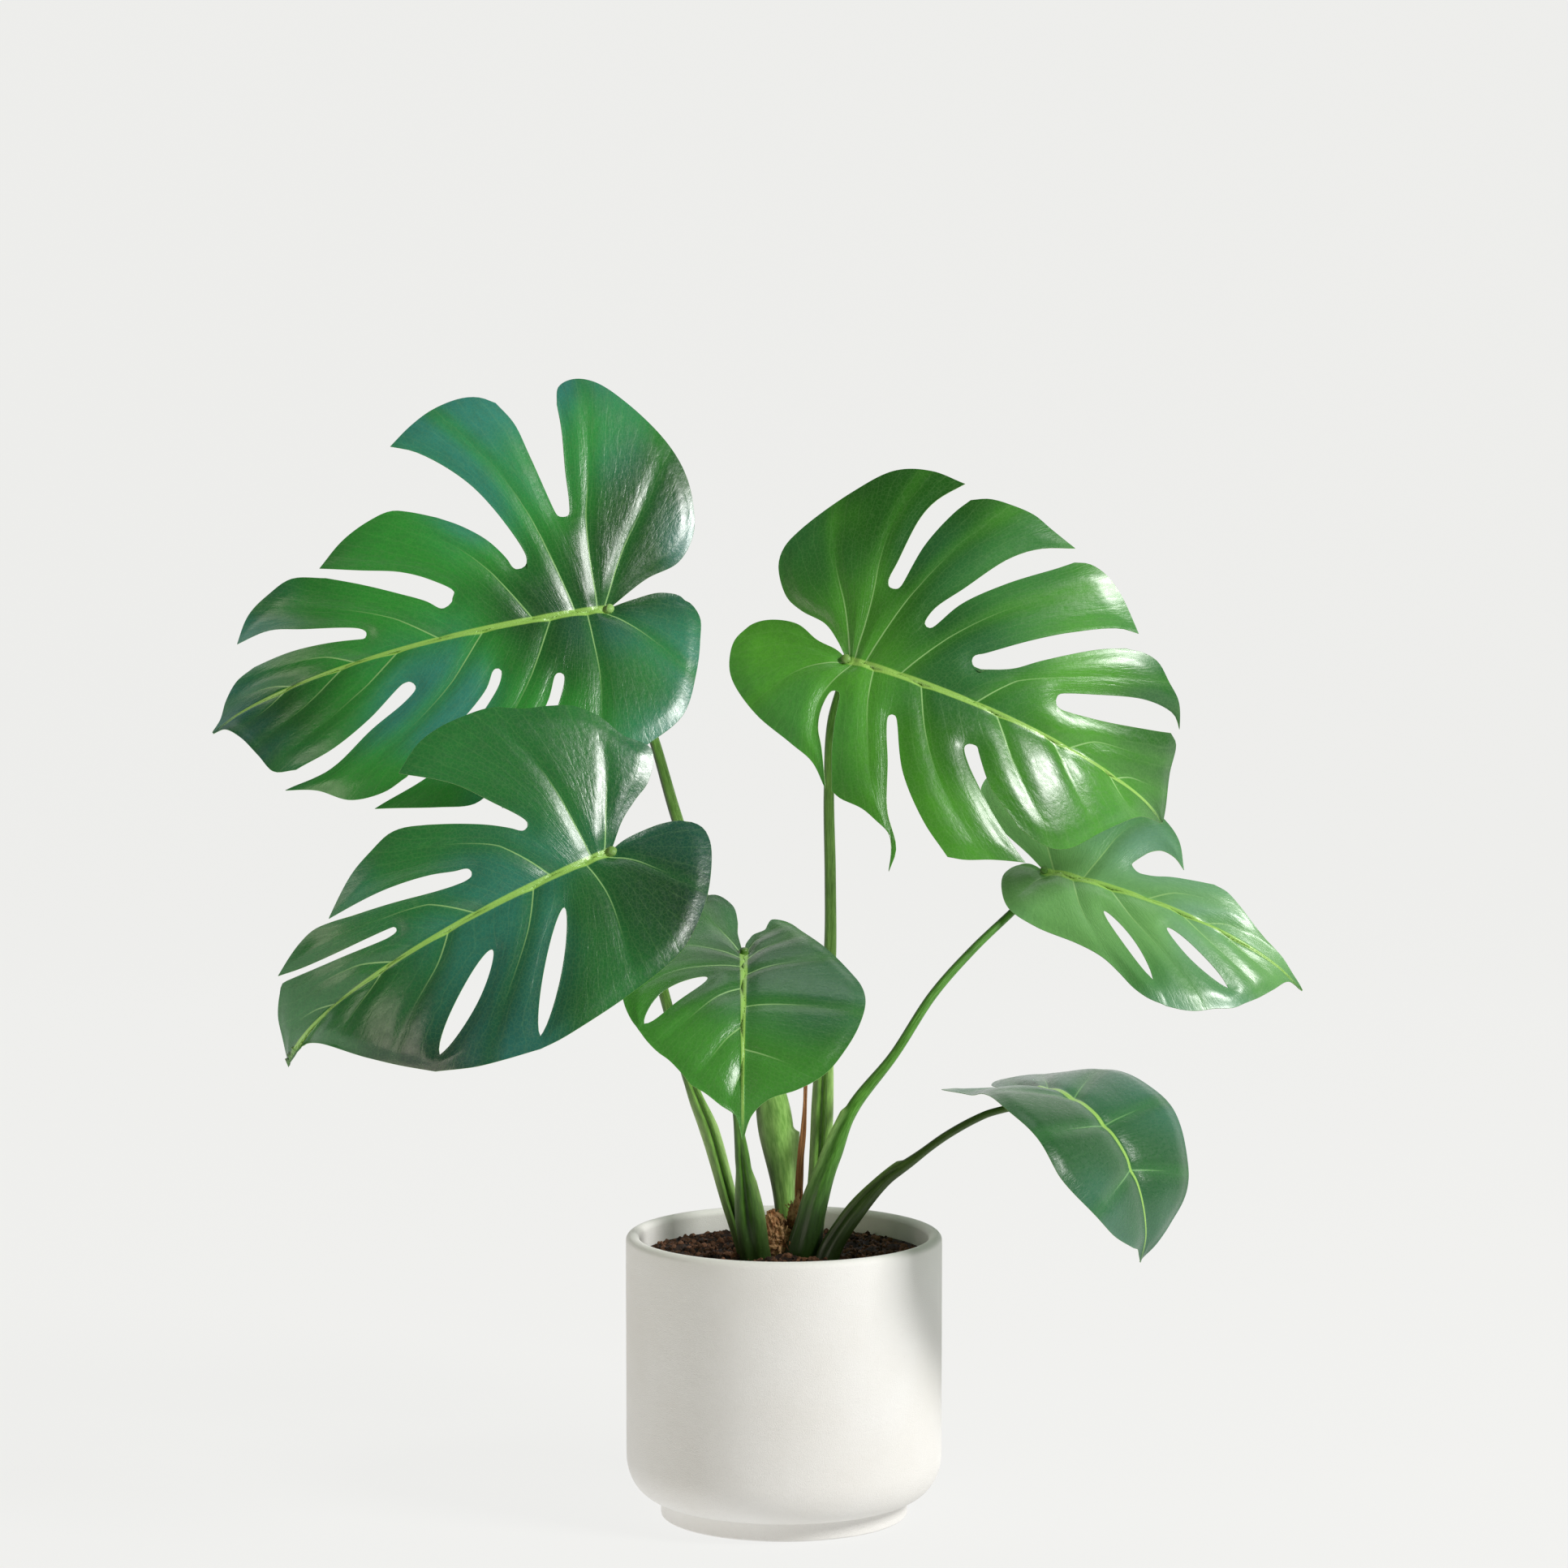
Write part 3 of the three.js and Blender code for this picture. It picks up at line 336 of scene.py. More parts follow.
class Growth(NodeGraph):
    """A geometry tree with named inputs that grows small things on a piece."""

    def __init__(self, name: str, numbers: Sequence[str], material: bpy.types.Material) -> None:
        """Starts a tree that takes a mesh, some numbers and a seed.

        Args:
            name: Name of the tree.
            numbers: Names of its number inputs.
            material: Finish of all that the tree gives back.
        """
        super().__init__(bpy.data.node_groups.new(name, "GeometryNodeTree"))
        self.material = material
        new = self.tree.interface.new_socket
        kinds = {
            "Geometry": "NodeSocketGeometry",
            **dict.fromkeys(numbers, "NodeSocketFloat"),
            "Seed": "NodeSocketInt",
        }
        self.sockets = {
            n: new(name=n, in_out="INPUT", socket_type=kind).identifier for n, kind in kinds.items()
        }
        new(name="Geometry", in_out="OUTPUT", socket_type="NodeSocketGeometry")
        self.given = self.node("NodeGroupInput").outputs

    def random(self, low: float | tuple, high: float | tuple, seed: Input) -> Socket:
        """Returns a random number, or a random vector between two vectors, for each element."""
        if isinstance(low, tuple):
            inputs = {0: low, 1: high, "Seed": seed}
            return self.node("FunctionNodeRandomValue", inputs, data_type="FLOAT_VECTOR").outputs[0]
        return self.node(
            "FunctionNodeRandomValue", {2: low, 3: high, "Seed": seed}, data_type="FLOAT"
        ).outputs[1]

    def scaled(self, vector: Input, scale: Input) -> Socket:
        """Returns a vector times a number."""
        return self.node("ShaderNodeVectorMath", {0: vector, "Scale": scale}, operation="SCALE").outputs[0]

    def roughened(self, geometry: Socket, scale: float, depth: float) -> Socket:
        """Returns the geometry with its points pushed about by noise.

        Args:
            geometry: The geometry to roughen.
            scale: Scale of the noise.
            depth: How far apart the pushes are, in metres.

        Returns:
            The roughened geometry.
        """
        place = self.node("GeometryNodeInputPosition").outputs[0]
        rough = self.node("ShaderNodeTexNoise", {"Vector": place, "Scale": scale, "Detail": 2.0}).outputs[1]
        middle = {0: rough, 1: (0.5, 0.5, 0.5)}
        push = self.scaled(self.node("ShaderNodeVectorMath", middle, operation="SUBTRACT").outputs[0], depth)
        return self.node("GeometryNodeSetPosition", {"Geometry": geometry, "Offset": push}).outputs[0]

    def scattered(self, geometry: Input, **inputs: Input) -> bpy.types.bpy_prop_collection:
        """Returns the outputs of a node that scatters points on the faces."""
        inputs = {"Mesh": geometry, "Density": self.given["Density"], "Seed": self.given["Seed"], **inputs}
        made = self.node("GeometryNodeDistributePointsOnFaces", inputs, distribute_method="RANDOM")
        return made.outputs

    def planted(self, points: Input, thing: Input, turn: Input, size: Input) -> Socket:
        """Returns copies of a thing on the points."""
        inputs = {"Points": points, "Instance": thing, "Rotation": turn, "Scale": size}
        return self.node("GeometryNodeInstanceOnPoints", inputs).outputs[0]

    def grow(
        self, piece: bpy.types.Object, grown: Input, base: Input, values: dict[str, float]
    ) -> bpy.types.Object:
        """Ends the tree, runs it on a piece and keeps the result as the piece's plain mesh.

        Args:
            piece: The piece that the tree starts from.
            grown: What has grown on it.
            base: The piece's own geometry.
            values: Input values by name.

        Returns:
            The same piece, with the new mesh and no modifier.
        """
        both = self.node("GeometryNodeJoinGeometry", {0: grown})
        self.put(both.inputs[0], base)
        joined = self.node("GeometryNodeRealizeInstances", {0: both.outputs[0]}).outputs[0]
        dressed = self.node(
            "GeometryNodeSetMaterial", {"Geometry": joined, "Material": self.material}
        ).outputs[0]
        self.node("NodeGroupOutput", {0: dressed})
        modifier = piece.modifiers.new("grow", "NODES")
        modifier.node_group = self.tree
        for name, value in values.items():
            modifier[self.sockets[name]] = value
        graph = bpy.context.evaluated_depsgraph_get()
        evaluated = piece.evaluated_get(graph)
        mesh = bpy.data.meshes.new_from_object(evaluated, preserve_all_data_layers=True, depsgraph=graph)
        piece.modifiers.remove(modifier)
        piece.data = mesh
        mesh.name = piece.name
        return piece


# ---------------------------------------------------------------- finishes


@dataclass(frozen=True)
class CeramicFinish:
    """Matt, faintly gritty off-white glaze."""

    name: str = "matt_white_ceramic"
    body: str = "f1f0ed"
    shade: str = "e3dfd7"
    grit: float = 1500.0

    def material(self) -> bpy.types.Material:
        """Builds the glaze."""
        s = Shader(self.name)
        cloud = s.fade(s.noise(s.place, 9.0, 4.0), 0.35, 0.7)
        grain = s.noise(s.place, self.grit, 2.0, 0.7)
        speck = s.fade(s.noise(s.place, 420.0, 2.0), 0.66, 0.8)
        colour = s.blend(s.times(cloud, 0.35), self.body, self.shade)
        colour = s.blend(s.times(speck, 0.3), colour, self.shade)
        fine = s.bump(grain, 0.0006, 0.6)
        waves = s.bump(s.noise(s.stretched((1.0, 1.0, 2.2)), 70.0, 3.0), 0.0005, 0.35, fine)
        rough = s.fade(s.noise(s.place, 60.0, 3.0), 0.3, 0.7, 0.6, 0.74)
        return s.finish(Base_Color=colour, Roughness=rough, Normal=waves, Specular_IOR_Level=0.35)


@dataclass(frozen=True)
class SoilFinish:
    """Damp dark potting soil whose crumbs differ in tone."""

    name: str = "potting_soil"
    dark: str = "1a100b"
    light: str = "74503a"

    def material(self) -> bpy.types.Material:
        """Builds the soil."""
        s = Shader(self.name)
        tone = s.math("ADD", s.layer("tone"), s.noise(s.place, 160.0, 4.0))
        colour = s.blend(s.fade(tone, 0.35, 1.35), self.dark, self.light)
        rough = s.fade(s.noise(s.place, 90.0), 0.35, 0.65, 0.72, 0.95)
        normal = s.bump(s.noise(s.place, 1400.0, 4.0, 0.7), 0.0006, 0.8)
        return s.finish(Base_Color=colour, Roughness=rough, Normal=normal, Specular_IOR_Level=0.3)


@dataclass(frozen=True)
class BarkFinish:
    """Fibrous tan and brown bark of the short stem."""

    name: str = "stem_bark"
    dark: str = "2e1a0e"
    middle: str = "8f5f38"
    light: str = "cfa477"

    def material(self) -> bpy.types.Material:
        """Builds the bark."""
        s = Shader(self.name)
        streak = s.noise(s.stretched((1.0, 1.0, 0.28)), 420.0, 5.0, 0.65)
        patch = s.noise(s.place, 95.0, 3.0)
        colour = s.blend(s.fade(streak, 0.34, 0.6), self.dark, self.middle)
        colour = s.blend(s.fade(patch, 0.38, 0.62), colour, self.light)
        normal = s.bump(streak, 0.0012, 0.9)
        return s.finish(Base_Color=colour, Roughness=0.85, Normal=normal, Specular_IOR_Level=0.25)


@dataclass(frozen=True)
class PaperFinish:
    """Dry, papery brown skin with long ribs."""

    name: str = "dry_sheath_skin"
    dark: str = "6a3f1c"
    light: str = "bd8656"

    def material(self) -> bpy.types.Material:
        """Builds the dry skin."""
        s = Shader(self.name)
        rib = s.noise(s.joined(s.times(s.layer("around"), 26.0), s.times(s.layer("along"), 5.0)), 1.0, 3.0)
        colour = s.blend(s.fade(rib, 0.35, 0.68), self.dark, self.light)
        normal = s.bump(rib, 0.0006, 0.8)
        return s.finish(Base_Color=colour, Roughness=0.7, Normal=normal, Specular_IOR_Level=0.3)


@dataclass(frozen=True)
class StalkFinish:
    """Fresh green stalk, lighter in its sheath and at its knee, with fine long ribs, and painted shade at its foot, on
    one flank and in its groove.
    """

    name: str
    deep: str = "3f6b22"
    fresh: str = "7fb04e"
    pale: str = "bfdc92"
    # Dark green used for random patches, and as painted shade in the sheath's groove.
    dark_patch_and_fold_shade: str = "33451f"
    dark_patch_share: float = 0.3
    # Dark green painted as shade at the stalk's foot above the soil and on its shaded flank.
    foot: str = "1a2a0c"
    foot_shade_share: float = 0.75
    flank_shade_share: float = 0.55
    foot_shade_top: float = 0.225

    def material(self) -> bpy.types.Material:
        """Builds the stalk's skin."""
        s = Shader(self.name)
        around, along = s.layer("around"), s.layer("along")
        lanes = s.joined(s.times(around, 16.0), s.times(along, 9.0))
        streak = s.noise(lanes, 1.0, 4.0, 0.6)
        patch = s.noise(s.place, 28.0, 3.0)
        colour = s.blend(s.fade(streak, 0.3, 0.72, 0.35, 1.0), self.deep, self.fresh)
        colour = s.blend(s.times(s.fade(patch, 0.42, 0.7), self.dark_patch_share), colour, self.dark_patch_and_fold_shade)
        height = s.node("ShaderNodeSeparateXYZ", {0: s.place}).outputs[2]
        # Painted shade: one flank of the stalk darkened towards the foot colour.
        colour = s.blend(s.fade(around, 0.12, 0.5, self.flank_shade_share, 0.0), colour, self.foot)
        # Painted shade: the groove's fold darkened.
        colour = s.blend(s.times(s.layer("fold"), 0.6), colour, self.dark_patch_and_fold_shade)
        wing = s.layer("wing")
        colour = s.blend(s.times(wing, s.fade(streak, 0.2, 0.6, 0.35, 0.8)), colour, self.pale)
        # Painted shade: the stalk darkens towards its foot, just above the soil.
        colour = s.blend(s.fade(height, 0.184, self.foot_shade_top, self.foot_shade_share, 0.0), colour, self.foot)
        fleck = s.fade(s.noise(s.place, 700.0, 2.0), 0.62, 0.78)
        colour = s.blend(s.times(fleck, 0.05), colour, self.pale)
        normal = s.bump(s.noise(lanes, 1.6, 2.0), 0.0004, 0.25)
        rough = s.fade(streak, 0.3, 0.7, 0.3, 0.42)
        return s.finish(Base_Color=colour, Roughness=rough, Normal=normal, Specular_IOR_Level=0.35)


@dataclass(frozen=True)
class LeafFinish:
    """Glossy blade: two greens in soft clouds, teal patches of painted sky reflection, a light midrib and side veins, a
    paler underside.
    """

    name: str
    deep: str
    fresh: str
    # Teal painted as a reflection of the sky, laid in soft patches between the veins.
    sky_reflection: str
    sky_reflection_share: float = 0.5
    rib: str = "98c85c"
    vein: str = "98c67c"
    under: str = "5f9148"
    gloss: float = 0.3

    def material(self) -> bpy.types.Material:
        """Builds the blade's skin."""
        s = Shader(self.name)
        rib_gap, vein_gap, reach, lane = (s.layer(n) for n in ("rib_gap", "vein_gap", "reach", "lane"))
        lower, x_share = s.layer("under"), s.layer("x_share")
        cloud = s.noise(s.place, 6.0, 2.0, 0.4)
        reflection_patches = s.noise(s.place, 8.5, 1.0, 0.4)
        colour = s.blend(s.fade(cloud, 0.38, 0.64), self.deep, self.fresh)
        between = s.fade(vein_gap, 1.0, 13.0, 0.55, 1.0)
        # Painted reflection: the teal sky sheen is blended into the colour in patches.
        sky_reflection = s.times(s.times(s.fade(reflection_patches, 0.4, 0.68), between), self.sky_reflection_share)
        colour = s.blend(sky_reflection, colour, self.sky_reflection)
        near_vein = s.fade(vein_gap, 0.0, 9.0, 0.22, 0.0)
        colour = s.blend(near_vein, colour, self.fresh)
        cross = s.times(reach, 14.0)
        ripple = s.noise(s.joined(s.times(lane, 3.0), cross), 1.0, 3.0, 0.6)
        colour = s.blend(s.fade(ripple, 0.3, 0.75, 0.0, 0.22), colour, self.deep)
        wave = s.math("PINGPONG", s.math("ADD", lane, s.times(s.noise(s.place, 30.0), 0.8)), 0.5)
        thread = s.fade(wave, 0.0, 0.07, 1.0, 0.0)
        colour = s.blend(s.times(thread, 0.05), colour, self.vein)
        net = s.node(
            "ShaderNodeTexVoronoi", {"Vector": s.place, "Scale": 330.0}, feature="DISTANCE_TO_EDGE"
        ).outputs[0]
        mesh = s.fade(net, 0.0, 0.12, 1.0, 0.0)
        colour = s.blend(s.times(mesh, 0.06), colour, self.vein)
        half_width = s.math("MULTIPLY_ADD", reach, -0.55, 0.8)
        line = s.fade(s.math("DIVIDE", vein_gap, half_width), 0.55, 1.1, 1.0, 0.0)
        shown = s.times(line, s.fade(reach, 0.12, 0.72, 0.85, 0.0))
        colour = s.blend(shown, colour, self.vein)
        rib_width = s.fade(x_share, -0.1, 1.0, 3.2, 0.7)
        rib = s.fade(s.math("DIVIDE", rib_gap, rib_width), 0.6, 1.05, 1.0, 0.0)
        rib = s.times(rib, s.fade(x_share, 0.86, 1.0, 1.0, 0.1))
        colour = s.blend(s.times(rib, 0.95), colour, self.rib)
        colour = s.blend(s.times(lower, s.fade(rib, 0.0, 1.0, 0.8, 0.25)), colour, self.under)
        # Pale rim: the margin's own paler colour, partly a painted highlight along its rounded edge.
        colour = s.blend(s.times(s.layer("edge"), 0.6), colour, self.rib)
        rough = s.math(
            "ADD", s.fade(ripple, 0.3, 0.7, self.gloss - 0.05, self.gloss + 0.08), s.times(lower, 0.22)
        )
        relief = s.math("ADD", s.times(ripple, 0.6), s.times(thread, -0.06))
        normal = s.bump(relief, 0.0011, 0.5)
        normal = s.bump(s.noise(s.place, 240.0, 3.0, 0.6), 0.0004, 0.35, normal)
        coat = {"Coat_Weight": 0.25, "Coat_Roughness": 0.16}
        return s.finish(Base_Color=colour, Roughness=rough, Normal=normal, Specular_IOR_Level=0.5, **coat)


# ---------------------------------------------------------------- pot


def lathed(profile: np.ndarray, sides: int) -> tuple[np.ndarray, Faces]:
    """Turns a profile that starts and ends on the axis into a closed skin.

    Args:
        profile: Radius and height of each point, from the underside outwards.
        sides: Number of steps round the axis.

    Returns:
        The points, and the faces with their outer side out.
    """
    ring = profile[1:-1]
    angle = np.linspace(0, 2 * np.pi, sides, endpoint=False)
    x = ring[:, 0, None] * np.cos(angle)
    y = ring[:, 0, None] * np.sin(angle)
    z = np.repeat(ring[:, 1, None], sides, axis=1)
    points = np.vstack(
        [np.stack([x, y, z], -1).reshape(-1, 3), [0, 0, profile[0, 1]], [0, 0, profile[-1, 1]]]
    )
    bottom, top = len(points) - 2, len(points) - 1
    faces: Faces = []
    for j in range(sides):
        k = (j + 1) % sides
        faces += [
            (i * sides + j, i * sides + k, (i + 1) * sides + k, (i + 1) * sides + j)
            for i in range(len(ring) - 1)
        ]
        last = (len(ring) - 1) * sides
        faces += [(bottom, k, j), (top, last + j, last + k)]
    return points, faces


def arc(cx: float, cy: float, rx: float, ry: float, start: float, end: float, steps: int) -> np.ndarray:
    """Returns points of an oval arc between two directions given in degrees."""
    angle = np.radians(np.linspace(start, end, steps + 1))
    return np.stack([cx + rx * np.cos(angle), cy + ry * np.sin(angle)], axis=-1)


@dataclass
class Pot:
    """Round straight-sided ceramic pot on a low foot."""

    radius: float = 110.0
    height: float = 198.0
    wall: float = 9.5
    floor: float = 14.0
    lip_round: float = 4.5
    belly_round: float = 30.0
    foot_radius: float = 86.0
    foot_height: float = 13.0
    foot_round: float = 1.6
    sides: int = 192
    finish: CeramicFinish = field(default_factory=CeramicFinish)

    def profile(self) -> np.ndarray:
        """Returns the pot's profile from the middle of its underside to the middle of its inner floor."""
        inner = self.radius - self.wall
        inner_round = self.belly_round - self.wall
        lip = self.height - self.lip_round
        foot = self.foot_radius
        rows = [
            np.array([[0.0, 1.2], [foot - 9.0, 1.2], [foot - 7.0, 0.0]]),
            arc(foot - self.foot_round, self.foot_round, self.foot_round, self.foot_round, -90, 0, 4),
            np.array([[foot, self.foot_height - 0.6]]),
            arc(foot, self.foot_height + self.belly_round, self.radius - foot, self.belly_round, -89, 0, 20),
            np.array(
                [[self.radius, z] for z in np.linspace(self.foot_height + self.belly_round, lip, 14)[1:-1]]
            ),
            arc(self.radius - self.lip_round, lip, self.lip_round, self.lip_round, 0, 90, 8),
            arc(inner + self.lip_round, lip, self.lip_round, self.lip_round, 90, 180, 8),
            np.array([[inner, z] for z in np.linspace(lip, self.floor + inner_round, 12)[1:-1]]),
            arc(inner - inner_round, self.floor + inner_round, inner_round, inner_round, 0, -90, 8),
            np.array([[0.0, self.floor]]),
        ]
        return np.vstack(rows)

    def build(self) -> None:
        """Makes and dresses the pot."""
        points, faces = lathed(self.profile(), self.sides)
        declare(new_piece("ceramic_pot", points, faces), "pot", self.finish.material())


# ---------------------------------------------------------------- soil


@dataclass
class Soil:
    """Bed of potting soil with loose crumbs on top."""

    radius: float = 100.2
    bottom: float = 14.3
    round: float = 20.2
    dome: float = 4.0
    lumps: float = 2.1
    rings: int = 34
    sides: int = 128
    crumb_density: float = 64000.0
    crumb_smallest: float = 0.8
    crumb_largest: float = 3.0
    crumb_edge: float = 96.0
    crumb_skew: float = 2.2
    crumb_grain: float = 520.0
    crumb_chipping: float = 3.4
    up_facing: float = 0.5
    seed: int = 7
    finish: SoilFinish = field(default_factory=SoilFinish)

    def bed(self) -> bpy.types.Object:
        """Returns the soil's body, whose top is gently lumpy."""
        r = np.linspace(self.radius, 0, self.rings + 1)
        top = np.stack([r, SOIL_LEVEL + self.dome * (1 - (r / self.radius) ** 2)], axis=-1)
        side = arc(self.radius - self.round, self.bottom + self.round, self.round, self.round, -90, 0, 6)
        points, faces = lathed(np.vstack([[0.0, self.bottom], side, top]), self.sides)
        x, y, z = points.T
        wave = np.sin(x * 0.21 + 1.3) * np.sin(y * 0.18 + 0.4) + 0.6 * np.sin(x * 0.47 - y * 0.39)
        far = np.hypot(x, y) / self.radius
        points[:, 2] = z + np.where(z > SOIL_LEVEL - 1, self.lumps * wave * (1 - far**6), 0.0)
        return new_piece("soil_bed", points, faces)

    def strewn(self, g: Growth) -> Socket:
        """Builds the crumbs, which lie on the upward faces.

        Args:
            g: The tree that they go into.

        Returns:
            The crumbs, each with its own tone.
        """
        normal_z = g.node(
            "ShaderNodeSeparateXYZ", {0: g.node("GeometryNodeInputNormal").outputs[0]}
        ).outputs[2]
        spot = g.node("ShaderNodeSeparateXYZ", {0: g.node("GeometryNodeInputPosition").outputs[0]}).outputs
        flat = g.node("ShaderNodeCombineXYZ", {0: spot[0], 1: spot[1]}).outputs[0]
        far = g.node("ShaderNodeVectorMath", {0: flat}, operation="LENGTH").outputs["Value"]
        upward = g.math("GREATER_THAN", normal_z, self.up_facing)
        chosen = g.times(upward, g.math("LESS_THAN", far, g.given["Edge"]))
        spots = g.scattered(g.given["Geometry"], Selection=chosen)
        crumb = g.node("GeometryNodeMeshIcoSphere", {"Radius": 1.0, "Subdivisions": 2}).outputs[0]
        turn = g.random((0, 0, 0), (6.3, 6.3, 6.3), g.given["Seed"])
        bulk = g.math("POWER", g.random(0.0, 1.0, 3), self.crumb_skew)
        sizes = {"Value": bulk, "To Min": g.given["Smallest"], "To Max": g.given["Largest"]}
        size = g.node("ShaderNodeMapRange", sizes).outputs[0]
        scale = g.scaled(g.random((0.7, 0.7, 0.5), (1.3, 1.1, 0.9), 5), size)
        crumbs = g.planted(spots["Points"], crumb, turn, scale)
        tone = {"Geometry": crumbs, "Name": "tone", "Value": g.random(0.0, 1.0, 11)}
        toned = g.node(
            "GeometryNodeStoreNamedAttribute", tone, data_type="FLOAT", domain="INSTANCE"
        ).outputs[0]
        real = g.node("GeometryNodeRealizeInstances", {0: toned}).outputs[0]
        return g.roughened(real, self.crumb_grain, self.crumb_chipping * MM)

    def build(self) -> None:
        """Makes and dresses the soil."""
        g = Growth("soil_crumbs", ("Density", "Smallest", "Largest", "Edge"), self.finish.material())
        values = {
            "Density": self.crumb_density,
            "Smallest": self.crumb_smallest * MM,
            "Largest": self.crumb_largest * MM,
            "Edge": self.crumb_edge * MM,
            "Seed": self.seed,
        }
        bed = g.grow(self.bed(), self.strewn(g), g.given["Geometry"], values)
        declare(bed, "soil")


# ---------------------------------------------------------------- swept pieces

Section = Callable[[np.ndarray, np.ndarray, np.ndarray], tuple[np.ndarray, np.ndarray]]


@dataclass
class Sweep:
    """A closed skin along a route, whose section changes on the way.

    route is in millimetres. sizes holds the share of the way, the width and the
    thickness. faces is where the broad side looks.
    """

    route: np.ndarray
    sizes: Rows
    faces: tuple[float, float, float]
    steps: int
    sides: int

    def skin(self, section: Section) -> tuple[np.ndarray, Faces, dict[str, np.ndarray]]:
        """Builds the skin.

        Args:
            section: Gives the sideways and outward places from the share of the way, the angle and
                the half sizes.

        Returns:
            The points, the faces, and each point's share of the way and angle.
        """
        line = SmoothLine(self.route)
        shares = np.linspace(0, 1, self.steps + 1)
        along = line.tangents(shares)
        across = unit(np.cross(along, np.array(self.faces, float)))
        outward = np.cross(across, along)
        t = shares[:, None]
        angle = np.linspace(0, 2 * np.pi, self.sides, endpoint=False)[None, :]
        half = np.stack([eased(self.sizes, t, 1) / 2, eased(self.sizes, t, 2) / 2])
        x, y = section(t, angle, half)
        centres = line.at(shares)
        points = centres[:, None] + x[..., None] * across[:, None] + y[..., None] * outward[:, None]
        flat = np.vstack([points.reshape(-1, 3), points[0].mean(0), points[-1].mean(0)])
        start, end = len(flat) - 2, len(flat) - 1
        n = self.sides
        faces: Faces = []
        for i in range(self.steps):
            faces += [
                (i * n + j, (i + 1) * n + j, (i + 1) * n + (j + 1) % n, i * n + (j + 1) % n) for j in range(n)
            ]
        last = self.steps * n
        faces += [(start, j, (j + 1) % n) for j in range(n)]
        faces += [(end, last + (j + 1) % n, last + j) for j in range(n)]
        ends = [0.0, 1.0]
        layers = {
            "along": np.concatenate([np.repeat(shares * line.length / 100, n), ends]),
            "around": np.concatenate([np.tile(np.abs(angle[0] - np.pi) / np.pi, self.steps + 1), ends]),
        }
        return flat, faces, layers


def buried(points: Sequence[Sequence[float]]) -> np.ndarray:
    """Returns a route that starts below the soil, straight under its first point."""
    x, y = points[0][:2]
    return on_soil([[x, y, -STALK_BURIED], *points])


